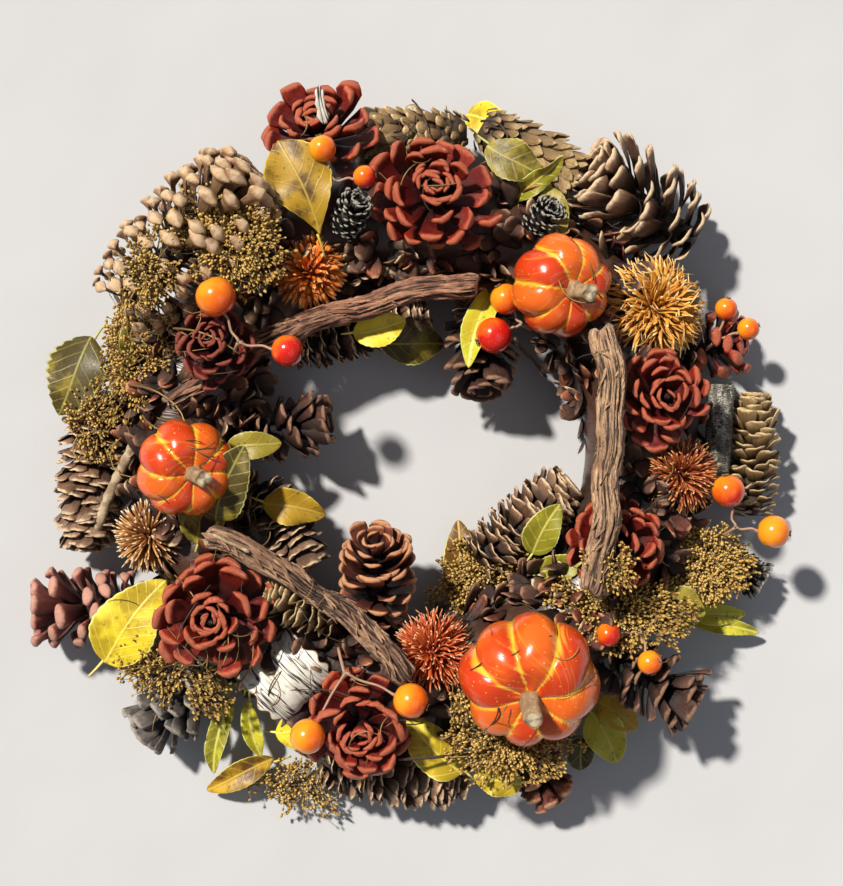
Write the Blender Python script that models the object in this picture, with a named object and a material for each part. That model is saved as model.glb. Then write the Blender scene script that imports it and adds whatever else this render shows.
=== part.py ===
# Harvest door wreath: a straw ring wrapped in brown tape, a wire hanging loop held by a staple, and
# a close cover of cones, mini pumpkins, berries, dried flowers, bark, leaves and broom bloom.
# Metres, +Z up. The wreath lies on its flat back, its centre over the origin, 12 o'clock at +Y.
# Angles round the ring are in degrees from 3 o'clock, counter-clockwise.

import math

import bpy
import numpy as np
from mathutils.bvhtree import BVHTree

MM = 0.001

# Straw ring and its tape
RING_RADIUS = 104 * MM  # wreath centre to the middle of the straw
STRAW_RADIUS = 24.5 * MM  # half the thickness of the straw
BACK_DEPTH = 19 * MM  # middle of the straw to the flat back
TAPE_THICKNESS = 0.8 * MM
TAPE_EDGE_ANGLE = 44  # how far below level the tape reaches on each side, degrees
RING_SEGMENTS = 32
SECTION_STEPS = 10

# Hanging loop and its staple, at 12 o'clock on the outer shoulder near the back
CLEARANCE = 0.3 * MM  # between pieces that touch
LOOP_WIRE_RADIUS = 0.75 * MM
LOOP_WIDTH = 14 * MM
LOOP_LENGTH = 26 * MM
LOOP_DROOP = 13.5  # the loop rests this far below level, degrees
LOOP_LIFT = 20  # it can rise this far from rest, degrees
LOOP_STANDOFF = 1.1 * MM  # tape to loop wire
STAPLE_WIRE_RADIUS = 0.7 * MM
STAPLE_WIDTH = 6 * MM
STAPLE_LEG = 14 * MM
STAPLE_TIP = 1.5 * MM
SHOULDER_ANGLE = -25  # where on the straw's section the staple goes in, degrees

# Packing of the cover
COVER_GAP = 0.4 * MM
FLOOR_GAP = 1.0 * MM  # over the plane of the flat back
SETTLE_STEPS = 500  # drawn in and pushed apart
SETTLE_FINISH = 500  # then only pushed apart
TARGET_PULL = 0.03  # share of the way back to its own place, each step
RING_PULL = 0.1 * MM  # way towards the straw, each step
PAIRS_EVERY = 20  # steps between searches for neighbours
PAIR_MARGIN = 8 * MM
REST_STEPS = 22  # of one clearance each, once the pieces are apart

# Cones: name, angle, offset outward from the middle of the straw, lift, heading of the tip,
# tilt of the tip, length, radius, form, colour. Offsets and sizes in mm, angles in degrees.
CONES = [
    ("pine_cone_pale_large", 137, 31, -18, 45, 6, 84, 28, "open", "pale_cone"),
    ("pine_cone_brown_large", 46, 39, -14, 145, 12, 63, 27, "open", "brown_cone"),
    ("pine_cone_grey", -133, 51, 2, -135, -4, 50, 19, "open", "grey_cone"),
    ("pine_cone_inner_bottom", -104, -39, 4, 90, 35, 46, 20, "open", "russet_cone"),
    ("pine_cone_inner_top", 57, -44, 0, -90, 20, 45, 19, "open", "dark_cone"),
    ("pine_cone_inner_left", 171, -41, -8, 10, 10, 42, 17, "open", "dark_cone"),
    ("pine_cone_low_right", -44, 40, -14, -30, 10, 42, 19, "open", "dark_cone"),
    ("pine_cone_low_outer", -69, 53, 0, -62, 0, 46, 14, "open", "russet_cone"),
    ("spruce_cone_top", 89, 45, 14, 180, 0, 52, 15, "long", "pale_cone"),
    ("spruce_cone_top_right", 71, 46, 10, -30, 0, 52, 16, "long", "brown_cone"),
    ("spruce_cone_left", -177, 52, 2, -95, 0, 76, 18, "long", "brown_cone"),
    ("spruce_cone_bottom", -94, 48, 2, -8, 0, 72, 18, "long", "brown_cone"),
    ("spruce_cone_right", -1, 61, 2, 90, 0, 58, 13.5, "long", "pale_cone"),
    ("spruce_cone_inner_right", -33, -45, 0, 40, 5, 58, 17, "long", "brown_cone"),
    ("spruce_cone_inner_top", 117, -45, 2, 15, 5, 68, 14, "long", "brown_cone"),
    ("spruce_cone_inner_left", -150, -38, 0, -60, 5, 45, 14, "long", "brown_cone"),
    ("spruce_cone_low_left", -125, -20, 0, 160, 10, 36, 12, "long", "pale_cone"),
    ("alder_cone_top", 105, 1, 8, 60, 45, 22, 9, "bud", "black_cone"),
    ("alder_cone_right", -20, 65, 18, -30, 10, 26, 11, "bud", "black_cone"),
    ("red_cone_top_left", 106, 49, 26, 110, 60, 26, 27, "rosette", "red_cone"),
    ("red_cone_top", 86, 7, 6, 80, 80, 27, 28, "rosette", "red_cone"),
    ("red_cone_right_upper", 19, 54, 14, 10, 30, 24, 17, "rosette", "red_cone"),
    ("red_cone_right", 13, 8, 4, 20, 80, 24, 22, "rosette", "red_cone"),
    ("red_cone_right_lower", -25, -7, 4, 200, 80, 24, 22, "rosette", "red_cone"),
    ("red_cone_left_lower", -140, 5, 4, -120, 80, 26, 27, "rosette", "red_cone"),
    ("red_cone_bottom", -101, 18, 2, -90, 75, 26, 26, "rosette", "red_cone"),
    ("red_cone_dusty", -154, 66, 2, 180, 12, 50, 20, "open", "dusty_cone"),
    ("red_cone_left_upper", 152, -8, 0, 120, 75, 22, 18, "rosette", "dark_red_cone"),
]

# How each cone form is cut: layers, scales in a layer, depth between scales, then the radius at
# the base and at the tip as shares of the greatest, and where along the cone that lies.
CONE_FORMS = {
    "open": (4, 6, 0.34, 0.62, 0.30, 0.36),
    "long": (5, 6, 0.16, 0.60, 0.34, 0.40),
    "bud": (3, 5, 0.14, 0.70, 0.45, 0.45),
    "rosette": (3, 8, 0.20, 0.45, 0.34, 0.50),
}

# Mini pumpkins: name, angle, offset, lift, heading and tilt of the stalk, radius, half height
PUMPKINS = [
    ("pumpkin_upper_right", 48, -9, 0, -30, 62, 22.5, 17),
    ("pumpkin_left", -175, -7, 0, -28, 62, 21.5, 16.5),
    ("pumpkin_lower_right", -64, 4, 0, -95, 64, 30.5, 22),
]
PUMPKIN_RIBS = 8
RIB_DEPTH = 0.07
STALK_LENGTH = 9 * MM
STALK_RADIUS = 3.2 * MM

# Berry picks, two berries on one forked stem: name, angle, offset, lift, heading from the first
# berry to the second, the two radii, their spacing, and how far the fork lies to the left
BERRY_PICKS = [
    ("berry_pick_top_left", 104, 27, 56, -34, 5.9, 5.0, 22, -9),
    ("berry_pick_left", 141, -13, 20, -37, 8.5, 6.8, 38, -10),
    ("berry_pick_inner_top", 58, -42, 44, -108, 6.8, 8.0, 17, 10),
    ("berry_pick_right_upper", 22, 62, 40, -42, 5.0, 5.0, 13.5, -12),
    ("berry_pick_right_lower", -10, 49, 48, -42, 7.2, 7.2, 27, -10),
    ("berry_pick_low_right", -43, 31, 12, -34, 5.4, 5.4, 22, 9),
    ("berry_pick_bottom", -102, 13, 20, 19, 7.6, 7.6, 47, 20),
]
BERRY_STEM_RADIUS = 0.8 * MM

# Dried flowers: name, angle, offset, lift, heading, tilt, radius, depth
FLOWERS = [
    ("dried_flower_top_left", 119, -13, 4, 120, 80, 17, 13),
    ("dried_flower_right_upper", 32, 28, 4, 40, 70, 22, 14),
    ("dried_flower_right", -5, 18, 2, 0, 75, 17, 13),
    ("dried_flower_left", -162, 24, 2, -160, 70, 17, 14),
    ("dried_flower_bottom", -86, -22, 4, 90, 75, 19, 14),
]
FLOWER_FORM = (2, 9, 0.30, 0.40, 0.30, 0.55)

# Bark sticks: name, angle, offset, lift, heading, length, radius, bow to the left
STICKS = [
    ("bark_stick_upper_left", 129, -42, 50, 21, 143, 5.0, 11),
    ("bark_stick_right", -3, -25, 26, -93, 111, 5.5, 5),
    ("bark_stick_lower_left", -123, -23, 26, -35, 104, 5.0, 7),
]

# Birch: a curled sheet of white bark and a short grey log
BIRCH_CURL = ("birch_bark_curl", -118, 12, 10, 45)  # name, angle, offset, lift, heading
CURL_LENGTH = 32 * MM
CURL_RADIUS = 17 * MM
CURL_THICKNESS = 1.4 * MM
CURL_HALF_ANGLE = 62
BIRCH_LOG = ("birch_log", 4, 45, 34, 86)
LOG_LENGTH = 40 * MM
LOG_RADIUS = 6.2 * MM

# Leaf sprays: name, angle, offset, lift, heading, then each leaf's length, width and turn
LEAVES = [
    ("leaf_spray_top_left", 112, 24, 30, -68, [(44, 26, 0)]),
    ("leaf_spray_top_right", 65, 26, 58, -35, [(28, 17, 0), (26, 12, -50)]),
    ("leaf_spray_left", 167, 54, 34, 62, [(38, 22, 0)]),
    ("leaf_spray_low_left", -149, 50, 44, 50, [(46, 25, 0)]),
    ("leaf_spray_inner_left", -173, -28, 30, 72, [(38, 20, 0), (24, 12, -60)]),
    ("leaf_spray_bottom", -80, 41, 42, -40, [(34, 20, 0), (22, 14, 35)]),
]
LEAF_THICKNESS = 1.0 * MM
LEAF_STEM = 0.9 * MM
LEAF_GAP = 5 * MM  # bare stem between two leaves
LEAF_RISE = 0.10  # how high a leaf arches, as a share of its length

# Broom bloom: name, angle, offset, lift, heading, length, width, height
BLOOMS = [
    ("broom_bloom_left", 159, 30, 8, 75, 48, 24, 14),
    ("broom_bloom_right", -24, 49, 24, 20, 44, 24, 14),
]

COLOURS = {  # linear base colour, roughness, metallic
    "straw": ((0.35, 0.24, 0.10), 0.85, 0.0),
    "tape": ((0.035, 0.018, 0.012), 0.42, 0.0),
    "steel": ((0.45, 0.45, 0.44), 0.35, 1.0),
    "pale_cone": ((0.42, 0.26, 0.13), 0.65, 0.0),
    "brown_cone": ((0.20, 0.095, 0.042), 0.62, 0.0),
    "dark_cone": ((0.085, 0.038, 0.022), 0.60, 0.0),
    "grey_cone": ((0.20, 0.15, 0.11), 0.75, 0.0),
    "russet_cone": ((0.21, 0.06, 0.03), 0.60, 0.0),
    "black_cone": ((0.018, 0.012, 0.011), 0.55, 0.0),
    "red_cone": ((0.36, 0.022, 0.022), 0.55, 0.0),
    "dark_red_cone": ((0.17, 0.016, 0.018), 0.58, 0.0),
    "dusty_cone": ((0.40, 0.13, 0.12), 0.75, 0.0),
    "pumpkin": ((0.72, 0.13, 0.01), 0.22, 0.0),
    "berry": ((0.80, 0.33, 0.015), 0.20, 0.0),
    "flower": ((0.62, 0.20, 0.02), 0.80, 0.0),
    "bark": ((0.13, 0.075, 0.060), 0.80, 0.0),
    "birch": ((0.62, 0.56, 0.48), 0.60, 0.0),
    "leaf": ((0.45, 0.33, 0.04), 0.50, 0.0),
    "bloom": ((0.42, 0.27, 0.04), 0.85, 0.0),
}


# ---- meshes -----------------------------------------------------------------------------------

def closed_surface(rings, start, end):
    """Verts and faces of rings of points joined in order, closed by a point at each end."""
    count, sides, _ = rings.shape
    verts = np.vstack([rings.reshape(-1, 3), [start], [end]])
    ring = np.arange(count - 1)[:, None] * sides
    side = np.arange(sides)[None, :]
    after = (side + 1) % sides
    quads = np.stack([ring + side, ring + after, ring + sides + after, ring + sides + side], -1)
    first, last = count * sides, count * sides + 1
    top = (count - 1) * sides
    faces = [tuple(q) for q in quads.reshape(-1, 4).tolist()]
    faces += [(first, (i + 1) % sides, i) for i in range(sides)]
    faces += [(last, top + i, top + (i + 1) % sides) for i in range(sides)]
    return verts, faces


def torus_surface(rings):
    """Verts and faces of rings of points joined in order, the last to the first."""
    count, sides, _ = rings.shape
    ring = np.arange(count)[:, None] * sides
    following = (np.arange(count)[:, None] + 1) % count * sides
    side = np.arange(sides)[None, :]
    after = (side + 1) % sides
    quads = np.stack([ring + side, ring + after, following + after, following + side], -1)
    return rings.reshape(-1, 3), [tuple(q) for q in quads.reshape(-1, 4).tolist()]


def outward(verts, faces):
    """The same faces, turned over as a whole if they enclose a negative volume."""
    volume = 0.0
    for face in faces:
        for i in range(1, len(face) - 1):
            volume += np.dot(verts[face[0]], np.cross(verts[face[i]], verts[face[i + 1]]))
    return faces if volume > 0 else [tuple(reversed(f)) for f in faces]


def lathe(stations, radii, start, end):
    """A body along +X: radii[i, j] is its radius at stations[i] in direction j."""
    sides = radii.shape[1]
    turn = np.arange(sides) / sides * 2 * np.pi
    x = np.repeat(stations[:, None], sides, axis=1)
    rings = np.stack([x, radii * np.cos(turn), radii * np.sin(turn)], -1)
    return closed_surface(rings, (start, 0, 0), (end, 0, 0))


def path_frames(points, closed=False):
    """Unit tangents, and side directions that stay as level as they can, at each point."""
    if closed:
        tangents = np.roll(points, -1, axis=0) - np.roll(points, 1, axis=0)
    else:
        tangents = np.gradient(points, axis=0)
    tangents = tangents / np.linalg.norm(tangents, axis=1)[:, None]
    sides = np.cross((0.0, 0.0, 1.0), tangents)
    sides = sides / np.linalg.norm(sides, axis=1)[:, None]
    return tangents, sides


def swept_rings(points, widths, heights, sides, closed=False):
    """Oval rings square to a path that never runs straight up."""
    tangents, across = path_frames(points, closed)
    up = np.cross(tangents, across)
    turn = np.arange(sides) / sides * 2 * np.pi
    widths = np.broadcast_to(widths, len(points))[:, None, None]
    heights = np.broadcast_to(heights, len(points))[:, None, None]
    sideways = across[:, None, :] * np.cos(turn)[None, :, None] * widths
    upward = up[:, None, :] * np.sin(turn)[None, :, None] * heights
    return points[:, None, :] + sideways + upward


def add_object(name, verts, faces, colour, location=(0, 0, 0), rotation=(0, 0, 0)):
    mesh = bpy.data.meshes.new(name)
    mesh.from_pydata([tuple(v) for v in verts], [], outward(np.asarray(verts), faces))
    mesh.update()
    mesh.materials.append(material(colour))
    mesh.shade_smooth()
    mesh.set_sharp_from_angle(angle=math.radians(40))
    piece = bpy.data.objects.new(name, mesh)
    piece.location = location
    piece.rotation_euler = rotation
    bpy.context.scene.collection.objects.link(piece)
    return piece


def material(name):
    found = bpy.data.materials.get(name)
    if found:
        return found
    rgb, roughness, metallic = COLOURS[name]
    made = bpy.data.materials.new(name)
    made.use_nodes = True
    shader = made.node_tree.nodes["Principled BSDF"]
    shader.inputs["Base Color"].default_value = (*rgb, 1.0)
    shader.inputs["Roughness"].default_value = roughness
    shader.inputs["Metallic"].default_value = metallic
    made.diffuse_color = (*rgb, 1.0)
    return made


# ---- shapes of the cover, each along its own +X -------------------------------------------------

def cone_envelope(share, form):
    """Greatest radius at a share of the way from base to tip, as a share of the widest."""
    base, tip, widest = form[3:]
    rise = base + (1 - base) * np.sin(np.pi / 2 * np.clip(share / widest, 0, 1))
    fall = tip + (1 - tip) * np.cos(np.pi / 2 * np.clip((share - widest) / (1 - widest), 0, 1))
    return np.where(share < widest, rise, fall)


def scaly_body(length, radius, form):
    """A cone or flower head: each layer of scales steps out from a waist to a ring of points."""
    layers, scales, depth = form[:3]
    columns = np.arange(2 * scales)
    stations, radii = [], []
    for layer in range(layers):
        waist = (layer + 0.15) / layers
        rim = (layer + 0.62) / layers
        notch = depth * 0.5 * ((columns + layer) % 2)
        stations += [waist, rim]
        radii += [
            radius * cone_envelope(waist, form) * (1 - depth) * np.ones(2 * scales),
            radius * cone_envelope(rim, form) * (1 - notch),
        ]
    stations = (np.array(stations) - 0.5) * length
    return lathe(stations, np.array(radii), -length / 2, length / 2)


def pumpkin_body(radius, half_height):
    """A ribbed, flattened globe along +X with its stalk on top."""
    columns = np.arange(2 * PUMPKIN_RIBS)
    latitude = np.radians([-72, -48, -22, 4, 30, 54, 72])
    ribs = 1 - RIB_DEPTH * (columns % 2)
    globe = radius * np.cos(latitude)[:, None] ** 0.8 * ribs
    stations = half_height * np.sin(latitude)
    seat = half_height * 0.86
    stalk_stations = [seat, seat + 0.45 * STALK_LENGTH, seat + STALK_LENGTH]
    stalk = np.outer([1.4 * STALK_RADIUS, STALK_RADIUS, 1.1 * STALK_RADIUS], np.ones(len(columns)))
    stations = np.append(stations, stalk_stations)
    return lathe(stations, np.vstack([globe, stalk]), -0.86 * half_height, stalk_stations[-1])


def berry_pick_body(first, second, spacing, fork):
    """Two berries along +X from each other, with stems that meet at a fork to one side."""
    a = np.array([-spacing / 2, 0, 0])
    b = np.array([spacing / 2, 0, 0])
    f = np.array([0, fork, -0.25 * abs(fork)])
    into_a = (f - a) / np.linalg.norm(f - a)
    into_b = (f - b) / np.linalg.norm(f - b)
    turns = np.radians([28, 60, 95, 130, 158])
    near = 0.18 * spacing
    points = [a - into_a * first * math.cos(t) for t in turns]
    points += [f - into_a * near, f - (into_a + into_b) * near * 0.3, f - into_b * near]
    points += [b - into_b * second * math.cos(t) for t in reversed(turns)]
    stem = np.full(3, BERRY_STEM_RADIUS)
    radii = np.concatenate([first * np.sin(turns), stem, second * np.sin(turns[::-1])])
    radii = np.maximum(radii, BERRY_STEM_RADIUS)
    rings = swept_rings(np.array(points), radii, radii, 8)
    return closed_surface(rings, a - into_a * first, b - into_b * second)


def bowed_path(length, bow, count):
    """Points along +X from end to end, bowed to the left."""
    share = np.linspace(-1, 1, count)
    return np.stack([share * length / 2, bow * (1 - share**2) - bow / 2, np.zeros(count)], -1)


def stick_body(length, radius, bow):
    points = bowed_path(length, bow, 11)
    knots = 1 - 0.12 * np.cos(np.arange(11) * 1.9)
    rings = swept_rings(points, radius * knots, radius * knots, 8)
    return closed_surface(rings, points[0], points[-1])


def log_body():
    stations = np.linspace(-LOG_LENGTH / 2, LOG_LENGTH / 2, 4)
    return lathe(stations, np.full((4, 10), LOG_RADIUS), stations[0], stations[-1])


def curl_body():
    """A curled sheet along +X, its hollow side down."""
    turn = np.radians(np.linspace(-CURL_HALF_ANGLE, CURL_HALF_ANGLE, 9))
    outer = np.stack([np.sin(turn), np.cos(turn)], -1) * CURL_RADIUS
    inner = np.stack([np.sin(turn), np.cos(turn)], -1)[::-1] * (CURL_RADIUS - CURL_THICKNESS)
    section = np.vstack([outer, inner]) - (0, CURL_RADIUS * 0.75)
    stations = np.linspace(-CURL_LENGTH / 2, CURL_LENGTH / 2, 4)
    rings = np.array([np.insert(section, 0, x, axis=1) for x in stations])
    count, sides, _ = rings.shape
    verts = rings.reshape(-1, 3)
    faces = []
    for i in range(count - 1):
        for j in range(sides):
            k = (j + 1) % sides
            faces.append((i * sides + j, i * sides + k, (i + 1) * sides + k, (i + 1) * sides + j))
    top = (count - 1) * sides
    for j in range(sides // 2 - 1):
        far = sides - 1 - j
        faces.append((j + 1, j, far, far - 1))
        faces.append((top + j, top + j + 1, top + far - 1, top + far))
    return verts, faces


def leaf_path(leaves):
    """Midrib points of leaves in a row, with the half width and half thickness at each."""
    share = np.array([0.04, 0.16, 0.34, 0.54, 0.74, 0.90, 1.0])
    spread = np.array([0.10, 0.62, 0.96, 1.0, 0.74, 0.34, 0.06])
    here, points, widths = np.zeros(3), [], []
    for length, width, turn in leaves:
        direction = np.array([math.cos(math.radians(turn)), math.sin(math.radians(turn)), 0])
        rise = LEAF_RISE * length * np.sin(np.pi * share)
        points.append(here + np.outer(share * length, direction) + np.outer(rise, (0, 0, 1)))
        widths.append(np.maximum(spread * width / 2, LEAF_STEM))
        here = here + direction * (length + LEAF_GAP)
    points = np.vstack(points)
    return points - points.mean(axis=0), np.concatenate(widths)


def leaf_body(leaves):
    points, widths = leaf_path(leaves)
    rings = swept_rings(points, widths, LEAF_THICKNESS / 2, 6)
    ends = (points[0] * 1.02 - points[1] * 0.02, points[-1] * 1.02 - points[-2] * 0.02)
    return closed_surface(rings, *ends)


def bloom_body(length, width, height):
    """A lumpy oval head of broom bloom, lying along +X."""
    latitude = np.radians([-66, -40, -13, 13, 40, 66])
    turn = np.arange(12) / 12 * 2 * np.pi
    lumps = 1 - 0.10 * (0.5 + 0.5 * np.cos(3 * turn[None, :] + 4 * latitude[:, None]))
    out = np.cos(latitude)[:, None] * lumps
    x = np.repeat((np.sin(latitude) * length / 2)[:, None], 12, axis=1)
    rings = np.stack([x, out * np.cos(turn) * width / 2, out * np.sin(turn) * height / 2], -1)
    return closed_surface(rings, (-length / 2, 0, 0), (length / 2, 0, 0))


# ---- stand-in balls that keep the pieces apart ---------------------------------------------------

def balls_of_lathe(stations, radii, balls):
    """Balls that fill a round body: on its axis, and in circles round it where it is wide."""
    found = []
    for x, r, ball in zip(stations, radii, balls):
        found.append((x, 0, 0, min(r, ball)))
        reach = r - ball
        while reach > 0.15 * ball:
            count = max(5, int(np.ceil(2 * np.pi * reach / (0.85 * ball))))
            for turn in np.arange(count) / count * 2 * np.pi:
                found.append((x, reach * math.cos(turn), reach * math.sin(turn), ball))
            reach -= 1.4 * ball
    return np.array(found)


def balls_of_scaly(length, radius, form):
    """Down the axis of a long cone, with circles at its ends, or in circles through a flat one."""
    if length < 1.5 * radius:
        share = np.array([0.30, 0.52, 0.74])
        balls = np.full(3, 0.27 * length)
        return balls_of_lathe((share - 0.5) * length, radius * cone_envelope(share, form), balls)
    count = int(round(length / radius * 2))
    share = (np.arange(count) + 0.5) / count
    radii = radius * cone_envelope(share, form)
    stations = (share - 0.5) * length
    balls = np.clip(length / 2 - np.abs(stations), 0.45 * radii, radii)
    return balls_of_lathe(stations, radii, balls)


def balls_of_log():
    stations = np.linspace(-0.42, 0.42, 8) * LOG_LENGTH
    balls = np.clip(LOG_LENGTH / 2 - np.abs(stations), 0.45 * LOG_RADIUS, LOG_RADIUS)
    return balls_of_lathe(stations, np.full(8, LOG_RADIUS), balls)


def balls_along(points, radii, spacing):
    """Balls along a path, no further apart than the spacing."""
    found = []
    for i in range(len(points) - 1):
        steps = max(1, int(np.ceil(np.linalg.norm(points[i + 1] - points[i]) / spacing)))
        for k in range(steps):
            share = k / steps
            centre = points[i] * (1 - share) + points[i + 1] * share
            found.append((*centre, radii[i] * (1 - share) + radii[i + 1] * share))
    found.append((*points[-1], radii[-1]))
    return np.array(found)


def balls_of_pumpkin(radius, half_height):
    globe = balls_of_lathe([0.0], [radius], [half_height * 0.92])
    stalk = [(half_height * 0.86 + STALK_LENGTH * 0.6, 0, 0, STALK_RADIUS * 1.3)]
    return np.vstack([globe, stalk])


def balls_of_berries(first, second, spacing, fork):
    a, b = np.array([-spacing / 2, 0, 0]), np.array([spacing / 2, 0, 0])
    f = np.array([0, fork, -0.25 * abs(fork)])
    wire = BERRY_STEM_RADIUS * 1.2
    stem = balls_along(np.array([a, f, b]), [wire, wire, wire], 4 * MM)
    return np.vstack([[(*a, first), (*b, second)], stem])


def balls_of_leaves(leaves):
    points, widths = leaf_path(leaves)
    thin = LEAF_THICKNESS * 1.6
    found = [balls_along(points, np.full(len(points), thin), 3 * MM)]
    _, across = path_frames(points)
    for share in (-1, -0.5, 0.5, 1):
        edge = points + across * (share * np.maximum(widths - thin, 0))[:, None]
        found.append(balls_along(edge, np.full(len(points), thin), 4 * MM))
    return np.vstack(found)


def balls_of_curl():
    turn = np.radians(np.linspace(-CURL_HALF_ANGLE, CURL_HALF_ANGLE, 6))
    thin = CURL_THICKNESS
    reach = CURL_RADIUS - CURL_THICKNESS / 2
    found = []
    for x in np.linspace(-CURL_LENGTH / 2 + thin, CURL_LENGTH / 2 - thin, 6):
        for t in turn:
            found.append((x, reach * math.sin(t), reach * math.cos(t) - CURL_RADIUS * 0.75, thin))
    return np.array(found)


def balls_of_bloom(length, width, height):
    ball = height / 2
    found = []
    for x in np.linspace(-1, 1, 5) * (length / 2 - ball):
        reach = max(0.0, width / 2 * math.sqrt(max(0.0, 1 - (2 * x / length) ** 2)) - ball)
        found += [(x, reach, 0, ball), (x, -reach, 0, ball)]
    return np.array(found)


# ---- packing ------------------------------------------------------------------------------------

class CoverPiece:
    """One piece of the cover before it is placed: its mesh, its balls and where it should lie."""

    def __init__(self, name, body, balls, colour, place, turn, thickness):
        self.name, self.body, self.colour = name, body, colour
        self.rotation = (0.0, -math.radians(turn[1]), math.radians(turn[0]))
        heading, tilt = math.radians(turn[0]), math.radians(turn[1])
        along = (math.cos(heading) * math.cos(tilt), math.sin(heading) * math.cos(tilt), math.sin(tilt))
        left = (-math.sin(heading), math.cos(heading), 0.0)
        self.axes = np.array([along, left, np.cross(along, left)])
        self.offsets = balls[:, :3] @ self.axes
        self.radii = balls[:, 3]
        self.target = resting_place(*place, thickness)

    def tree(self, place):
        """The piece's faces in space, for telling whether it meets another."""
        verts, faces = self.body
        return BVHTree.FromPolygons((np.asarray(verts) @ self.axes + place).tolist(), faces)


def lowest(piece, place):
    return (np.asarray(piece.body[0]) @ piece.axes)[:, 2].min() + place[2]


def world_mesh(piece):
    """Corners in space and faces of an object that carries no modifier that adds to it."""
    turn = piece.matrix_basis
    return [turn @ v.co for v in piece.data.vertices], [tuple(f.vertices) for f in piece.data.polygons]


def resting_place(angle, offset, lift, thickness):
    """A point over the ring where a piece of that half thickness touches the tape, plus a lift."""
    reach = STRAW_RADIUS + TAPE_THICKNESS + 2 * CLEARANCE + thickness
    height = BACK_DEPTH + math.sqrt(max(reach**2 - (offset * MM) ** 2, 0.0))
    if abs(offset * MM) > reach:
        height = thickness + CLEARANCE
    out = RING_RADIUS + offset * MM
    turn = math.radians(angle)
    return np.array([out * math.cos(turn), out * math.sin(turn), height + lift * MM])


def hanger_guard():
    """Balls that fill the room the hanging loop swings in."""
    bar_out, bar_height = loop_bar_place()
    rise = LOOP_LENGTH * math.sin(math.radians(LOOP_LIFT - LOOP_DROOP))
    room = rise + 2 * LOOP_WIRE_RADIUS + CLEARANCE
    found = []
    for share in (0.0, 0.25, 0.5, 0.75, 1.0):
        for side in (-1, 0, 1):
            found.append((side * LOOP_WIDTH / 2, bar_out + share * LOOP_LENGTH, bar_height, room))
    return np.array(found)


def settle(pieces):
    """Draws the pieces onto the ring and pushes them apart until none touch. Returns their places."""
    owner = np.concatenate([np.full(len(p.radii), i) for i, p in enumerate(pieces)])
    offsets = np.vstack([p.offsets for p in pieces])
    radii = np.concatenate([p.radii for p in pieces])
    target = np.array([p.target for p in pieces])
    guard = hanger_guard()
    tube = tape_surface() + COVER_GAP
    place = target.copy()
    for step in range(SETTLE_STEPS + SETTLE_FINISH):
        if step < SETTLE_STEPS:
            place[:, :2] += TARGET_PULL * (target[:, :2] - place[:, :2])
            inward = middle_of_straw(place) - place
            inward /= np.linalg.norm(inward, axis=1)[:, None]
            place += inward * RING_PULL
        centres = place[owner] + offsets
        if step % PAIRS_EVERY == 0:
            first, second = near_pairs(centres, radii, owner)
        push, weight = np.zeros_like(centres), np.zeros(len(centres))

        way, deep = overlaps(centres[first], centres[second], radii[first] + radii[second])
        for balls, side in ((first, 1), (second, -1)):
            for axis in range(3):
                share = side * way[:, axis] * deep**2 / 2
                push[:, axis] += np.bincount(balls, share, len(centres))
            weight += np.bincount(balls, deep, len(centres))

        way, deep = overlaps(centres, middle_of_straw(centres), tube - COVER_GAP + radii)
        push += way * (deep**2)[:, None]
        weight += deep
        below = np.maximum(radii + FLOOR_GAP - centres[:, 2], 0)
        push[:, 2] += below**2
        weight += below
        for ball in guard:
            way, deep = overlaps(centres, ball[None, :3], radii + ball[3])
            push += way * (deep**2)[:, None]
            weight += deep

        weights = np.maximum(np.bincount(owner, weight, len(place)), 1e-9)
        for axis in range(3):
            place[:, axis] += np.bincount(owner, push[:, axis], len(place)) / weights
    return place


def rest_on_neighbours(pieces, places, fixed):
    """Moves each piece, nearest the straw first, a little further in until its mesh all but touches."""
    trees = [BVHTree.FromPolygons(*world_mesh(f)) for f in fixed]
    trees += [piece.tree(place) for piece, place in zip(pieces, places)]
    inward = middle_of_straw(places) - places
    order = np.argsort(np.linalg.norm(inward, axis=1))
    inward /= np.linalg.norm(inward, axis=1)[:, None]
    for i in order:
        own = len(fixed) + i
        step = inward[i] * CLEARANCE
        for _ in range(REST_STEPS):
            ahead = [pieces[i].tree(places[i] + step * k) for k in (1, 2)]
            if any(a.overlap(t) for k, t in enumerate(trees) if k != own for a in ahead):
                break
            places[i] = places[i] + step
            if lowest(pieces[i], places[i]) < CLEARANCE:
                places[i][2] += CLEARANCE
        trees[own] = pieces[i].tree(places[i])
    return places


def overlaps(centres, others, reach):
    """Unit ways from the others to the centres, and how much nearer they are than they may be."""
    apart = centres - others
    distance = np.linalg.norm(apart, axis=1) + 1e-9
    return apart / distance[:, None], np.maximum(reach + COVER_GAP - distance, 0)


def middle_of_straw(points):
    """The nearest point to each on the circle through the middle of the straw."""
    flat = points[:, :2] / np.linalg.norm(points[:, :2], axis=1)[:, None] * RING_RADIUS
    return np.column_stack([flat, np.full(len(points), BACK_DEPTH)])


def near_pairs(centres, radii, owner):
    """Pairs of balls of different pieces that could meet within a few steps."""
    first, second = np.triu_indices(len(centres), 1)
    keep = owner[first] != owner[second]
    first, second = first[keep], second[keep]
    distance = np.linalg.norm(centres[first] - centres[second], axis=1)
    keep = distance < radii[first] + radii[second] + PAIR_MARGIN
    return first[keep], second[keep]


# ---- the pieces ---------------------------------------------------------------------------------

def revolve(section):
    """A closed band: a section of (radius, height) points carried round the Z axis."""
    turn = np.arange(RING_SEGMENTS) / RING_SEGMENTS * 2 * np.pi
    rings = np.array([[(r * np.cos(t), r * np.sin(t), z) for r, z in section] for t in turn])
    return torus_surface(rings)


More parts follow.
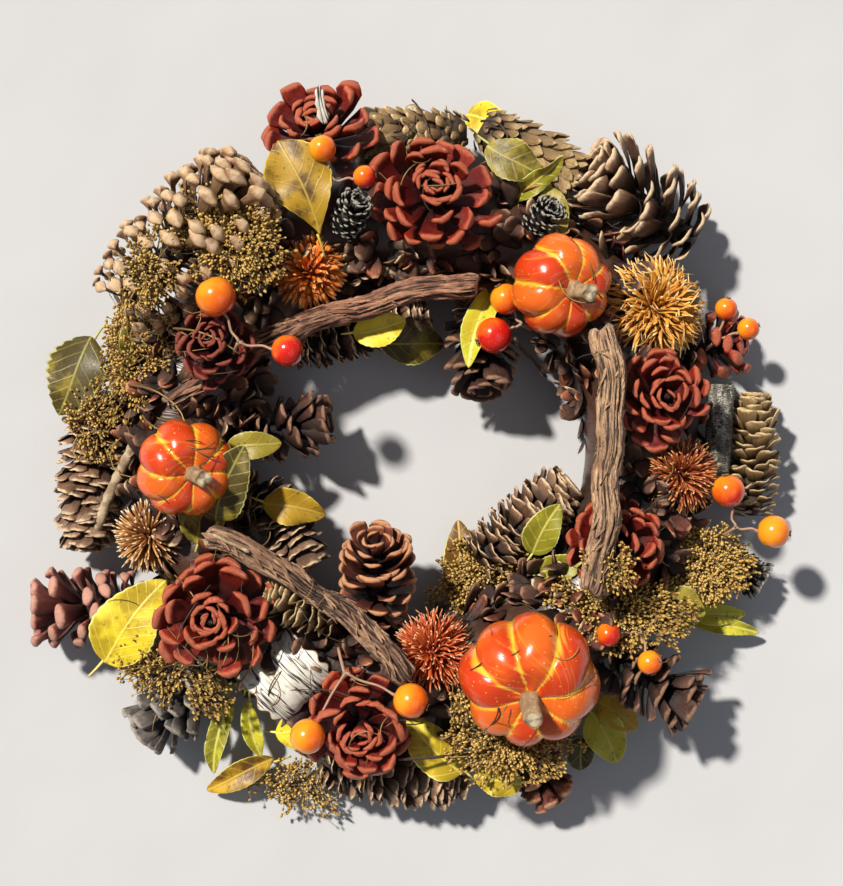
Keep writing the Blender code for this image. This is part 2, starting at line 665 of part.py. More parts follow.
def section_arc(radius):
    angles = np.radians(np.linspace(-TAPE_EDGE_ANGLE, 180 + TAPE_EDGE_ANGLE, SECTION_STEPS + 1))
    return [(RING_RADIUS + radius * math.cos(a), BACK_DEPTH + radius * math.sin(a)) for a in angles]


def straw_ring():
    half_back = math.sqrt(STRAW_RADIUS**2 - BACK_DEPTH**2)
    section = section_arc(STRAW_RADIUS)
    section += [(RING_RADIUS - half_back, 0.0), (RING_RADIUS + half_back, 0.0)]
    return add_object("straw_ring", *revolve(section), "straw")


def ring_tape():
    inner = STRAW_RADIUS + CLEARANCE
    section = section_arc(inner + TAPE_THICKNESS) + section_arc(inner)[::-1]
    return add_object("ring_tape", *revolve(section), "tape")


def shoulder_directions():
    """Out of and along the straw's surface at the staple, as (Y, Z) pairs."""
    turn = math.radians(SHOULDER_ANGLE)
    return (math.cos(turn), math.sin(turn)), (-math.sin(turn), math.cos(turn))


def tape_surface():
    return STRAW_RADIUS + CLEARANCE + TAPE_THICKNESS


def loop_bar_place():
    """Where the loop's bar, and so its hinge axis, crosses the YZ plane."""
    outward_way, _ = shoulder_directions()
    reach = tape_surface() + LOOP_STANDOFF + LOOP_WIRE_RADIUS
    return RING_RADIUS + reach * outward_way[0], BACK_DEPTH + reach * outward_way[1]


def on_shoulder(depth, along):
    """A point of the YZ plane, at a distance from the middle of the straw and along its surface."""
    out, tangent = shoulder_directions()
    y = RING_RADIUS + depth * out[0] + along * tangent[0]
    z = BACK_DEPTH + depth * out[1] + along * tangent[1]
    return (0.0, y, z)


def staple():
    crown = tape_surface() + LOOP_STANDOFF + 2 * LOOP_WIRE_RADIUS + CLEARANCE + STAPLE_WIRE_RADIUS
    half = STAPLE_WIDTH / 2
    foot = tape_surface() - STAPLE_LEG
    corner = 1.2 * MM
    route = [(foot, -half), (crown - corner, -half), (crown - 0.3 * corner, -half + 0.3 * corner),
             (crown, -half + corner), (crown, half - corner),
             (crown - 0.3 * corner, half - 0.3 * corner), (crown - corner, half), (foot, half)]
    points = np.array([on_shoulder(*p) for p in route])
    tangents = np.gradient(points, axis=0)
    tangents /= np.linalg.norm(tangents, axis=1)[:, None]
    across = np.array([(1.0, 0.0, 0.0)] * len(points))
    up = np.cross(tangents, across)
    turn = np.arange(8) / 8 * 2 * np.pi
    rings = points[:, None, :] + STAPLE_WIRE_RADIUS * (
        across[:, None, :] * np.cos(turn)[None, :, None] + up[:, None, :] * np.sin(turn)[None, :, None])
    tips = (on_shoulder(foot - STAPLE_TIP, -half), on_shoulder(foot - STAPLE_TIP, half))
    return add_object("hanger_staple", *closed_surface(rings, *tips), "steel")


def cut_staple_holes(ring_pieces):
    """Two round holes for the staple's legs, through the tape and into the straw."""
    reach = STAPLE_WIRE_RADIUS + CLEARANCE
    top = tape_surface() + 1 * MM
    bottom = tape_surface() - STAPLE_LEG - STAPLE_TIP - CLEARANCE
    out, tangent = shoulder_directions()
    turn = np.arange(8) / 8 * 2 * np.pi
    for piece in ring_pieces:
        for side, label in ((-1, "lower"), (1, "upper")):
            rings = []
            for depth in (bottom, top):
                centre = np.array(on_shoulder(depth, side * STAPLE_WIDTH / 2))
                rings.append([centre + reach * (np.array((1, 0, 0)) * math.cos(t)
                              + np.array((0, *tangent)) * math.sin(t)) for t in turn])
            ends = [on_shoulder(d, side * STAPLE_WIDTH / 2) for d in (bottom, top)]
            verts, faces = closed_surface(np.array(rings), *ends)
            cutter = add_object(f"{piece.name}_{label}_hole", verts, faces, "steel")
            cutter.hide_render = True
            cutter.display_type = "WIRE"
            cut = piece.modifiers.new(f"{label}_hole", "BOOLEAN")
            cut.operation = "DIFFERENCE"
            cut.object = cutter
            cut.solver = "EXACT"


def hanger_loop():
    """A closed wire loop; its straight bar lies in the staple, on the hinge axis."""
    half = LOOP_WIDTH / 2
    corner = 2.5 * MM
    route = [(x, 0.0) for x in (-half + corner, 0.0, half - corner)]
    for a in np.radians((-60, -30, 0)):
        route.append((half - corner + corner * math.cos(a), corner + corner * math.sin(a)))
    straight = LOOP_LENGTH - half
    for a in np.radians(np.arange(0, 181, 20)):
        route.append((half * math.cos(a), straight + half * math.sin(a)))
    for a in np.radians((180, 210, 240)):
        route.append((-half + corner + corner * math.cos(a), corner + corner * math.sin(a)))
    points = np.array([(x, s, 0.0) for x, s in route])
    rings = swept_rings(points, LOOP_WIRE_RADIUS, LOOP_WIRE_RADIUS, 6, closed=True)
    bar_out, bar_height = loop_bar_place()
    return add_object("hanger_loop", *torus_surface(rings), "steel",
                      location=(0.0, bar_out, bar_height), rotation=(-math.radians(LOOP_DROOP), 0, 0))


def cover_pieces():
    pieces = []
    for name, angle, offset, lift, heading, tilt, length, radius, form, colour in CONES:
        size = (length * MM, radius * MM, CONE_FORMS[form])
        slim = radius if form != "rosette" else length / 2
        pieces.append(CoverPiece(name, scaly_body(*size), balls_of_scaly(*size), colour,
                                 (angle, offset, lift), (heading, tilt), slim * MM))
    for name, angle, offset, lift, heading, tilt, radius, half_height in PUMPKINS:
        size = (radius * MM, half_height * MM)
        pieces.append(CoverPiece(name, pumpkin_body(*size), balls_of_pumpkin(*size), "pumpkin",
                                 (angle, offset, lift), (heading, tilt), half_height * MM))
    for name, angle, offset, lift, heading, first, second, spacing, fork in BERRY_PICKS:
        size = (first * MM, second * MM, spacing * MM, fork * MM)
        pieces.append(CoverPiece(name, berry_pick_body(*size), balls_of_berries(*size), "berry",
                                 (angle, offset, lift), (heading, 0), first * MM))
    for name, angle, offset, lift, heading, tilt, radius, depth in FLOWERS:
        size = (depth * MM, radius * MM, FLOWER_FORM)
        pieces.append(CoverPiece(name, scaly_body(*size), balls_of_scaly(*size), "flower",
                                 (angle, offset, lift), (heading, tilt), depth / 2 * MM))
    for name, angle, offset, lift, heading, length, radius, bow in STICKS:
        size = (length * MM, radius * MM, bow * MM)
        path = bowed_path(length * MM, bow * MM, 11)
        balls = balls_along(path, np.full(11, radius * 1.12 * MM), 5 * MM)
        pieces.append(CoverPiece(name, stick_body(*size), balls, "bark",
                                 (angle, offset, lift), (heading, 0), radius * MM))
    for name, angle, offset, lift, heading, leaves in LEAVES:
        sizes = [(length * MM, width * MM, turn) for length, width, turn in leaves]
        pieces.append(CoverPiece(name, leaf_body(sizes), balls_of_leaves(sizes), "leaf",
                                 (angle, offset, lift), (heading, 0), 2 * MM))
    for name, angle, offset, lift, heading, length, width, height in BLOOMS:
        size = (length * MM, width * MM, height * MM)
        pieces.append(CoverPiece(name, bloom_body(*size), balls_of_bloom(*size), "bloom",
                                 (angle, offset, lift), (heading, 0), height / 2 * MM))
    name, angle, offset, lift, heading = BIRCH_CURL
    pieces.append(CoverPiece(name, curl_body(), balls_of_curl(), "birch",
                             (angle, offset, lift), (heading, 0), CURL_RADIUS / 2))
    name, angle, offset, lift, heading = BIRCH_LOG
    pieces.append(CoverPiece(name, log_body(), balls_of_log(), "birch",
                             (angle, offset, lift), (heading, 0), LOG_RADIUS))
    return pieces


def build():
    for found in list(bpy.data.objects):
        bpy.data.objects.remove(found, do_unlink=True)
    ring_pieces = [straw_ring(), ring_tape()]
    staple()
    cut_staple_holes(ring_pieces)
    hanger_loop()
    pieces = cover_pieces()
    places = rest_on_neighbours(pieces, settle(pieces), ring_pieces)
    for piece, place in zip(pieces, places):
        add_object(piece.name, *piece.body, piece.colour, location=place, rotation=piece.rotation)


build()
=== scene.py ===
import bpy
import numpy as np
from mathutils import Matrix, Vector
from mathutils.bvhtree import BVHTree


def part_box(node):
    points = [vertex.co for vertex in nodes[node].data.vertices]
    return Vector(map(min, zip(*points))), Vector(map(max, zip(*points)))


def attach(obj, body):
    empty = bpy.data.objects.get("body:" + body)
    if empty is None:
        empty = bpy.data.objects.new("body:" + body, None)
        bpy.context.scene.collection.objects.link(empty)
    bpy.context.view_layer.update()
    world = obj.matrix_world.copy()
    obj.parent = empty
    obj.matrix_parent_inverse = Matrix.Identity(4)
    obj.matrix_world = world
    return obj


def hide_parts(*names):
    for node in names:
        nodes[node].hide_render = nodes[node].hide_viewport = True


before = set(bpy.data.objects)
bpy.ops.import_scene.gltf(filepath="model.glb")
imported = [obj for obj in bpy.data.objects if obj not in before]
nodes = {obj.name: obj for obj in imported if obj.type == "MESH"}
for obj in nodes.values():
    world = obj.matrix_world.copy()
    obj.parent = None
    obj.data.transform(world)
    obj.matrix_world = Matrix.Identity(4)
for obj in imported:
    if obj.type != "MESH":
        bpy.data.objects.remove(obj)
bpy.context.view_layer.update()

# Harvest door wreath. Lengths are metres, angles degrees round the ring from 3 o'clock, counter-clockwise.
# Each piece of the cover is measured from its CAD node and built along its own axis: base to tip.
mm = 0.001
goldenTurn = np.pi * (3 - 5**0.5)  # the turn between one scale of a cone and the next
# The carrying ring as in the CAD: the tape ends `edge` degrees below level and goes round in `wraps` turns
ring = dict(middle=104 * mm, straw=24.5 * mm, back=19 * mm, gap=0.3 * mm, tape=0.8 * mm, edge=44, wraps=26,
            segments=360)
print("frame loaded:", len(nodes), "nodes")


def feed(tree, socket, value):
    if isinstance(value, bpy.types.NodeSocket):
        tree.links.new(value, socket)
    else:
        socket.default_value = (*value, 1.0) if socket.type == "RGBA" else value


# Shader nodes in one line each: inputs by name or number, a socket is linked and a value is set
def addNode(tree, kind, inputs=None, **settings):
    made = tree.nodes.new("ShaderNode" + kind)
    for key, value in settings.items():
        setattr(made, key, value)
    for key, value in (inputs or {}).items():
        feed(tree, made.inputs[key], value)
    return made


def calc(tree, operation, a, b=0.0):
    return addNode(tree, "Math", {0: a, 1: b}, operation=operation).outputs[0]


def times(tree, a, b):
    return calc(tree, "MULTIPLY", a, b)


def plus(tree, a, b):
    return calc(tree, "ADD", a, b)


def minus(tree, a, b):
    return calc(tree, "SUBTRACT", a, b)


def mixColour(tree, share, a, b, blend="MIX"):
    mixed = addNode(tree, "Mix", {0: share, 6: a, 7: b}, data_type="RGBA", blend_type=blend)
    return mixed.outputs[2]


def between(tree, value, low, high):
    # 0 below low, 1 above high, a smooth step in the middle
    step = addNode(tree, "MapRange", {"Value": value, "From Min": low, "From Max": high},
                   interpolation_type="SMOOTHSTEP")
    return step.outputs["Result"]


def noise(tree, vector, scale, detail=3.0, rough=0.55):
    return addNode(tree, "TexNoise", {"Vector": vector, "Scale": scale, "Detail": detail,
                                      "Roughness": rough}).outputs["Fac"]


def shaderGroup(name, inputs, outputs, build):
    tree = bpy.data.node_groups.new(name, "ShaderNodeTree")
    for label, kind, value in inputs:
        socket = tree.interface.new_socket(label, in_out="INPUT", socket_type="NodeSocket" + kind)
        if kind != "Vector":
            socket.default_value = (*value, 1.0) if kind == "Color" else value
    for label, kind in outputs:
        tree.interface.new_socket(label, in_out="OUTPUT", socket_type="NodeSocket" + kind)
    source = tree.nodes.new("NodeGroupInput")
    sink = tree.nodes.new("NodeGroupOutput")
    for label, socket in build(tree, source.outputs).items():
        tree.links.new(socket, sink.inputs[label])
    return tree


def buildFibreGrain(tree, given):
    # Noise drawn out along X of the vector, with sharp furrows where it crosses its middle
    across = given["Scale"]
    along = calc(tree, "DIVIDE", across, given["Stretch"])
    stretched = addNode(tree, "VectorMath", {0: given["Vector"], 1: addNode(
        tree, "CombineXYZ", {0: along, 1: across, 2: across}).outputs[0]}, operation="MULTIPLY").outputs[0]
    soft = noise(tree, stretched, 1.0, 5.0, 0.6)
    furrow = calc(tree, "ABSOLUTE", minus(tree, noise(tree, stretched, 2.3, 2.0), 0.5))
    return {"Mask": between(tree, soft, 0.34, 0.66),
            "Height": plus(tree, soft, calc(tree, "MINIMUM", times(tree, furrow, 6.0), 1.0))}


def buildColourDrift(tree, given):
    # Mixes two colours by the piece's own tone and by slow noise
    spread = minus(tree, noise(tree, given["Vector"], given["Scale"], 3.0), 0.5)
    tone = minus(tree, given["Tone"], 0.5)
    share = plus(tree, times(tree, spread, 2.2), tone)
    share = plus(tree, times(tree, share, given["Amount"]), 0.5)
    return {"Color": mixColour(tree, between(tree, share, 0.15, 0.85), given["Color"], given["Second"])}


def buildRimWear(tree, given):
    # Paler worn edges, broken up by noise
    broken = minus(tree, noise(tree, given["Vector"], given["Scale"], 4.0), 0.5)
    edge = plus(tree, given["Rim"], times(tree, broken, 0.9))
    mask = times(tree, between(tree, edge, 0.45, 0.95), given["Amount"])
    return {"Color": mixColour(tree, mask, given["Color"], given["Wear"]), "Mask": mask}


def buildDustOver(tree, given):
    # A thin film of dust that lies in patches, and dulls the gloss where it lies
    patch = between(tree, noise(tree, given["Vector"], 160.0, 4.0), 0.45, 0.75)
    mask = times(tree, patch, given["Amount"])
    rough = plus(tree, given["Roughness"], times(tree, mask, 0.4))
    return {"Color": mixColour(tree, mask, given["Color"], given["Dust"]), "Roughness": rough}


def buildPinholes(tree, given):
    # Small round flecks at the middles of Voronoi cells
    cells = addNode(tree, "TexVoronoi", {"Vector": given["Vector"], "Scale": given["Scale"]})
    reach = times(tree, addNode(tree, "SeparateColor", {0: cells.outputs["Color"]}).outputs[0],
                 given["Size"])
    return {"Mask": calc(tree, "LESS_THAN", cells.outputs["Distance"], reach)}


darkWood, paleWood = (0.05, 0.03, 0.02), (0.5, 0.4, 0.3)
vectorIn = ("Vector", "Vector", None)
groups = {
    "fibreGrain": shaderGroup("fibreGrain", [vectorIn, ("Scale", "Float", 900.0), ("Stretch", "Float", 8.0)],
                              [("Mask", "Float"), ("Height", "Float")], buildFibreGrain),
    "colourDrift": shaderGroup("colourDrift", [
        ("Color", "Color", darkWood), ("Second", "Color", paleWood), vectorIn, ("Scale", "Float", 120.0),
        ("Tone", "Float", 0.5), ("Amount", "Float", 0.8)], [("Color", "Color")], buildColourDrift),
    "rimWear": shaderGroup("rimWear", [
        ("Color", "Color", darkWood), ("Wear", "Color", paleWood), vectorIn, ("Scale", "Float", 500.0),
        ("Rim", "Float", 0.0), ("Amount", "Float", 1.0)],
        [("Color", "Color"), ("Mask", "Float")], buildRimWear),
    "dustOver": shaderGroup("dustOver", [
        ("Color", "Color", darkWood), ("Dust", "Color", paleWood), vectorIn, ("Roughness", "Float", 0.5),
        ("Amount", "Float", 0.2)], [("Color", "Color"), ("Roughness", "Float")], buildDustOver),
    "pinholes": shaderGroup("pinholes", [vectorIn, ("Scale", "Float", 600.0), ("Size", "Float", 0.4)],
                            [("Mask", "Float")], buildPinholes),
}


def placeGroup(tree, name, inputs):
    made = tree.nodes.new("ShaderNodeGroup")
    made.node_tree = groups[name]
    for key, value in inputs.items():
        feed(tree, made.inputs[key], value)
    return made.outputs


def drift(tree, given, colour, second, scale, amount, vector="spot"):
    return placeGroup(tree, "colourDrift", {"Color": colour, "Second": second, "Vector": given[vector],
                                            "Scale": scale, "Tone": given["tone"], "Amount": amount})["Color"]


def grainOn(tree, vector, scale, stretch):
    return placeGroup(tree, "fibreGrain", {"Vector": vector, "Scale": scale, "Stretch": stretch})


def wearOn(tree, given, colour, wear, scale, rim, amount):
    return placeGroup(tree, "rimWear", {"Color": colour, "Wear": wear, "Vector": given["spot"],
                                        "Scale": scale, "Rim": rim, "Amount": amount})["Color"]


def dustOn(tree, given, colour, dust, roughness, amount):
    return placeGroup(tree, "dustOver", {"Color": colour, "Dust": dust, "Vector": given["spot"],
                                         "Roughness": roughness, "Amount": amount})


def flecks(tree, given, scale, size):
    return placeGroup(tree, "pinholes", {"Vector": given["spot"], "Scale": scale, "Size": size})["Mask"]


def startMaterial(name, **constants):
    # A material with its constant finish set, and the values that every piece's mesh carries:
    # mark is (way along, own tone, rim), lay is (length along, width across, own number) in metres
    made = bpy.data.materials.new(name)
    made.use_nodes = True
    tree = made.node_tree
    shader = tree.nodes["Principled BSDF"]
    for key, value in constants.items():
        feed(tree, shader.inputs[key], value)
    mark = addNode(tree, "Attribute", attribute_name="mark").outputs["Vector"]
    along, tone, rim = addNode(tree, "SeparateXYZ", {0: mark}).outputs
    lay = addNode(tree, "Attribute", attribute_name="lay").outputs["Vector"]
    spot = addNode(tree, "TexCoord").outputs["Object"]
    return made, tree, shader, {"along": along, "tone": tone, "rim": rim, "lay": lay, "spot": spot}


def finishMaterial(tree, shader, colour, roughness, height=None, strength=0.4, depth=0.3 * mm):
    feed(tree, shader.inputs["Base Color"], colour)
    feed(tree, shader.inputs["Roughness"], roughness)
    if height is not None:
        bump = addNode(tree, "Bump", {"Height": height, "Strength": strength, "Distance": depth})
        tree.links.new(bump.outputs[0], shader.inputs["Normal"])


# Cone scales: colour at the root (near black: painted shade deep inside the cone), on the body and at the
# thick end, the rim (paler worn edges with a painted highlight on the lit rims), roughness and dust
coneFinishes = {
    "pale_cone": dict(root=(.040, .020, .011), body=(.20, .11, .058), tip=(.56, .33, .165),
                      second=(.30, .145, .065), wear=(.78, .58, .36), worn=0.7, rough=0.48, dust=0.06),
    "straw_cone": dict(root=(.045, .024, .010), body=(.22, .13, .055), tip=(.58, .39, .175),
                       second=(.33, .20, .08), wear=(.80, .62, .34), worn=0.8, rough=0.5, dust=0.05),
    "brown_cone": dict(root=(.014, .007, .005), body=(.085, .040, .022), tip=(.34, .185, .10),
                       second=(.15, .07, .036), wear=(.74, .54, .34), worn=1.0, rough=0.5, dust=0.15),
    "dark_cone": dict(root=(.006, .003, .003), body=(.034, .013, .009), tip=(.125, .050, .028),
                      second=(.050, .018, .012), wear=(.40, .21, .12), worn=0.7, rough=0.5, dust=0.08),
    "grey_cone": dict(root=(.008, .007, .007), body=(.042, .034, .032), tip=(.17, .14, .125),
                      second=(.065, .052, .048), wear=(.42, .37, .32), worn=0.8, rough=0.62, dust=0.35),
    "russet_cone": dict(root=(.010, .003, .003), body=(.080, .016, .010), tip=(.40, .12, .050),
                        second=(.15, .032, .018), wear=(.68, .33, .16), worn=0.8, rough=0.46, dust=0.05),
    "black_cone": dict(root=(.004, .003, .003), body=(.012, .010, .009), tip=(.045, .040, .036),
                       second=(.02, .017, .016), wear=(.44, .42, .36), worn=0.9, rough=0.42, dust=0.30),
    "red_cone": dict(root=(.012, .0015, .002), body=(.115, .008, .006), tip=(.36, .030, .014),
                     second=(.19, .011, .008), wear=(.62, .155, .070), worn=0.62, rough=0.36, dust=0.02),
    # a darker copy of the red cone colours: painted shade for the cone that lies in shadow under the berry
    "dark_red_cone": dict(root=(.007, .0012, .002), body=(.055, .005, .006), tip=(.20, .022, .015),
                          second=(.10, .008, .008), wear=(.42, .10, .06), worn=0.5, rough=0.38, dust=0.02),
    "dusty_cone": dict(root=(.030, .007, .006), body=(.15, .034, .027), tip=(.34, .095, .070),
                       second=(.20, .045, .034), wear=(.66, .34, .25), worn=0.8, rough=0.55, dust=0.16),
}


def coneMaterial(name, look):
    made, tree, shader, given = startMaterial(name)
    # the root colour is painted shade: the inner part of each scale, deep in the cone, is darkened near black
    body = mixColour(tree, between(tree, given["along"], 0.12, 0.62), look["root"], look["body"])
    ends = drift(tree, given, look["tip"], look["second"], 190.0, 0.9)
    colour = mixColour(tree, between(tree, given["along"], 0.5, 0.88), body, ends)
    colour = mixColour(tree, times(tree, between(tree, given["along"], 0.96, 1.0), 0.55), colour, body)
    grain = grainOn(tree, given["lay"], 1900.0, 9.0)
    darker = mixColour(tree, times(tree, grain["Mask"], 0.42), colour, look["root"])
    # the paler rim is partly real wear and partly a painted highlight on the lit rims
    worn = wearOn(tree, given, darker, look["wear"], 420.0, given["rim"], look["worn"])
    dusty = dustOn(tree, given, worn, (.42, .37, .31), look["rough"], look["dust"])
    finishMaterial(tree, shader, dusty["Color"], dusty["Roughness"], grain["Height"], 0.55, 0.35 * mm)
    return made


def pumpkinMaterial():
    # Orange-red skin, yellow in the grooves, with thin yellow streaks running from stalk to blossom end
    look = dict(skin=(.74, .125, .012), deep=(.56, .045, .008), groove=(.88, .50, .040),
                fleck=(.95, .62, .16))
    gloss = {"Coat Weight": 0.35, "Coat Roughness": 0.08, "Specular IOR Level": 0.45}
    made, tree, shader, given = startMaterial("pumpkin_skin", **gloss)
    streaks = grainOn(tree, given["lay"], 380.0, 14.0)
    skin = drift(tree, given, look["deep"], look["skin"], 55.0, 1.0)
    edge = plus(tree, given["rim"], times(tree, minus(tree, streaks["Mask"], 0.5), 0.32))
    grooved = mixColour(tree, between(tree, edge, 0.42, 0.95), skin, look["groove"])
    drawn = mixColour(tree, times(tree, between(tree, streaks["Mask"], 0.72, 1.0), 0.16),
                      grooved, look["groove"])
    spots = flecks(tree, given, 420.0, 0.22)
    colour = mixColour(tree, times(tree, spots, 0.35), drawn, look["fleck"])
    rough = plus(tree, times(tree, noise(tree, given["spot"], 240.0), 0.16), 0.16)
    finishMaterial(tree, shader, colour, rough, streaks["Height"], 0.10, 0.3 * mm)
    return made


def berryMaterial():
    # Yellow-orange with a red blush on the side that the mesh marks, the lower right of every berry, away
    # from the key light: a real blush that also stands as painted shade; and fine pores
    look = dict(yellow=(.86, .30, .012), orange=(.80, .13, .006), blushAndShade=(.58, .012, .008),
                pore=(.95, .58, .12))
    gloss = {"Coat Weight": 0.5, "Coat Roughness": 0.06, "Specular IOR Level": 0.5}
    made, tree, shader, given = startMaterial("berry_skin", **gloss)
    push = plus(tree, given["rim"], minus(tree, given["tone"], 0.5))
    push = plus(tree, push, times(tree, minus(tree, noise(tree, given["spot"], 130.0), 0.5), 0.7))
    warm = mixColour(tree, between(tree, push, 0.1, 0.65), look["yellow"], look["orange"])
    colour = mixColour(tree, between(tree, push, 0.6, 1.05), warm, look["blushAndShade"])
    pores = flecks(tree, given, 1300.0, 0.3)
    colour = mixColour(tree, times(tree, pores, 0.18), colour, look["pore"])
    rough = plus(tree, times(tree, noise(tree, given["spot"], 420.0), 0.14), 0.13)
    finishMaterial(tree, shader, colour, rough, noise(tree, given["spot"], 700.0), 0.05, 0.2 * mm)
    return made


# Stems, stalks, spikes and buds: colour at the base and at the end, a second colour, and the end's tint
fibreFinishes = {
    "flower_orange": dict(base=(.44, .080, .008), end=(.86, .27, .024), second=(.68, .14, .012),
                          tip=(.97, .60, .26), rough=.55),
    "flower_golden": dict(base=(.34, .130, .018), end=(.88, .48, .085), second=(.66, .27, .030),
                          tip=(.98, .84, .46), rough=.5),
    "flower_russet": dict(base=(.12, .018, .008), end=(.56, .155, .034), second=(.30, .055, .016),
                          tip=(.86, .54, .19), rough=.55),
    "flower_red": dict(base=(.22, .026, .006), end=(.66, .135, .024), second=(.46, .065, .012),
                       tip=(.96, .62, .36), rough=.6),
    "flower_brown": dict(base=(.14, .045, .012), end=(.62, .31, .095), second=(.34, .13, .030),
                         tip=(.97, .84, .56), rough=.45),
    "bloom_buds": dict(base=(.16, .085, .016), end=(.66, .41, .080), second=(.38, .21, .032),
                       tip=(.88, .70, .30), rough=.7),
    "bloom_stems": dict(base=(.14, .080, .026), end=(.44, .29, .10), second=(.26, .16, .05),
                        tip=(.55, .39, .15), rough=.75),
    "berry_stems": dict(base=(.36, .24, .15), end=(.46, .27, .18), second=(.42, .20, .15),
                        tip=(.10, .05, .03), rough=.6),
    "pumpkin_stalk": dict(base=(.16, .08, .030), end=(.42, .30, .17), second=(.26, .17, .085),
                          tip=(.62, .52, .36), rough=.8),
    "twig_pale": dict(base=(.34, .26, .16), end=(.52, .42, .28), second=(.24, .16, .09),
                      tip=(.68, .56, .38), rough=.75),
    "twig_dark": dict(base=(.030, .018, .013), end=(.095, .058, .036), second=(.05, .03, .022),
                      tip=(.20, .13, .08), rough=.7),
    "straw_stalks": dict(base=(.34, .22, .085), end=(.56, .41, .19), second=(.42, .29, .12),
                         tip=(.62, .48, .26), rough=.7),
}


def fibreMaterial(name, look):
    made, tree, shader, given = startMaterial(name)
    ends = drift(tree, given, look["end"], look["second"], 260.0, 1.1)
    colour = mixColour(tree, between(tree, given["along"], 0.05, 0.6), look["base"], ends)
    worn = wearOn(tree, given, colour, look["tip"], 900.0, given["rim"], 0.9)
    grain = grainOn(tree, given["lay"], 2600.0, 12.0)
    rough = plus(tree, times(tree, grain["Mask"], 0.15), look["rough"])
    shade = mixColour(tree, times(tree, grain["Mask"], 0.35), worn, look["base"])
    finishMaterial(tree, shader, shade, rough, grain["Height"], 0.4, 0.2 * mm)
    return made


barkFinishes = {
    "bark_purple": dict(ridge=(.58, .29, .165), furrow=(.030, .012, .008), second=(.31, .135, .080),
                        wood=(.62, .44, .28)),
    "bark_tan": dict(ridge=(.62, .38, .22), furrow=(.040, .020, .012), second=(.36, .20, .115),
                     wood=(.66, .50, .34)),
    "bark_umber": dict(ridge=(.58, .34, .20), furrow=(.028, .013, .009), second=(.30, .155, .090),
                       wood=(.62, .44, .28)),
}


def barkMaterial(name, look):
    # Ridges and furrows by the height that the mesh marks as rim, the furrows near black: darker inner bark
    # with painted shade in the furrows; bare wood at the broken ends
    made, tree, shader, given = startMaterial(name)
    grain = grainOn(tree, given["lay"], 1100.0, 11.0)
    ridge = drift(tree, given, look["second"], look["ridge"], 85.0, 1.2)
    lift = plus(tree, given["rim"], times(tree, minus(tree, grain["Mask"], 0.5), 0.5))
    # the furrow colour is partly darker inner bark and partly painted shade in the furrows
    colour = mixColour(tree, between(tree, lift, 0.24, 0.70), look["furrow"], ridge)
    colour = mixColour(tree, between(tree, given["along"], 0.96, 1.0), colour, look["wood"])
    dusty = dustOn(tree, given, colour, (.40, .33, .27), 0.68, 0.12)
    finishMaterial(tree, shader, dusty["Color"], dusty["Roughness"], grain["Height"], 0.9, 0.5 * mm)
    return made


def leafMaterial(name, look):
    # Blotched blade, a pale midrib with slanting side veins, and a pale thick margin
    settings = {"Subsurface Weight": 0.12, "Subsurface Scale": 1.5 * mm, "Specular IOR Level": 0.4}
    made, tree, shader, given = startMaterial(name, **settings)
    blade = drift(tree, given, look["blade"], look["second"], 95.0, 1.3)
    length, width = addNode(tree, "SeparateXYZ", {0: given["lay"]}).outputs[:2]
    side = calc(tree, "ABSOLUTE", width)
    midrib = minus(tree, 1.0, between(tree, side, 0.15 * mm, 0.75 * mm))
    slant = minus(tree, length, times(tree, side, 0.9))
    wander = times(tree, noise(tree, given["spot"], 130.0), 2.2 * mm)
    rows = calc(tree, "FRACT", calc(tree, "DIVIDE", plus(tree, slant, wander), look["veinPitch"]))
    vein = minus(tree, 1.0, between(tree, calc(tree, "ABSOLUTE", minus(tree, rows, 0.5)), 0.02, 0.10))
    lines = calc(tree, "MAXIMUM", midrib, times(tree, vein, 0.45))
    veined = mixColour(tree, times(tree, lines, 0.75), blade, look["vein"])
    spots = flecks(tree, given, 380.0, 0.30)
    spotted = mixColour(tree, times(tree, spots, 0.5), veined, look["spot"])
    rimmed = wearOn(tree, given, spotted, look["margin"], 260.0, between(tree, given["rim"], 0.86, 0.99), 0.9)
    pores = noise(tree, given["spot"], 900.0, 4.0)
    height = plus(tree, times(tree, lines, 0.8), times(tree, pores, 0.5))
    rough = plus(tree, times(tree, pores, 0.25), 0.32)
    finishMaterial(tree, shader, rimmed, rough, height, 0.6, 0.35 * mm)
    return made


leafFinishes = {
    "leaf_yellow": dict(blade=(.42, .30, .012), second=(.74, .58, .024), vein=(.82, .70, .14),
                        spot=(.22, .12, .01), margin=(.84, .76, .22), veinPitch=5.5 * mm),
    "leaf_ochre": dict(blade=(.13, .060, .007), second=(.50, .30, .016), vein=(.60, .42, .08),
                       spot=(.10, .04, .01), margin=(.66, .58, .12), veinPitch=6 * mm),
    "leaf_bronze": dict(blade=(.085, .040, .006), second=(.38, .225, .014), vein=(.50, .34, .06),
                        spot=(.06, .03, .01), margin=(.56, .46, .08), veinPitch=6 * mm),
    "leaf_olive": dict(blade=(.070, .052, .009), second=(.27, .21, .020), vein=(.38, .33, .07),
                       spot=(.05, .03, .01), margin=(.46, .46, .13), veinPitch=5.5 * mm),
    "leaf_lime": dict(blade=(.24, .22, .016), second=(.52, .47, .030), vein=(.66, .62, .15),
                      spot=(.14, .10, .01), margin=(.70, .70, .24), veinPitch=5.5 * mm),
}


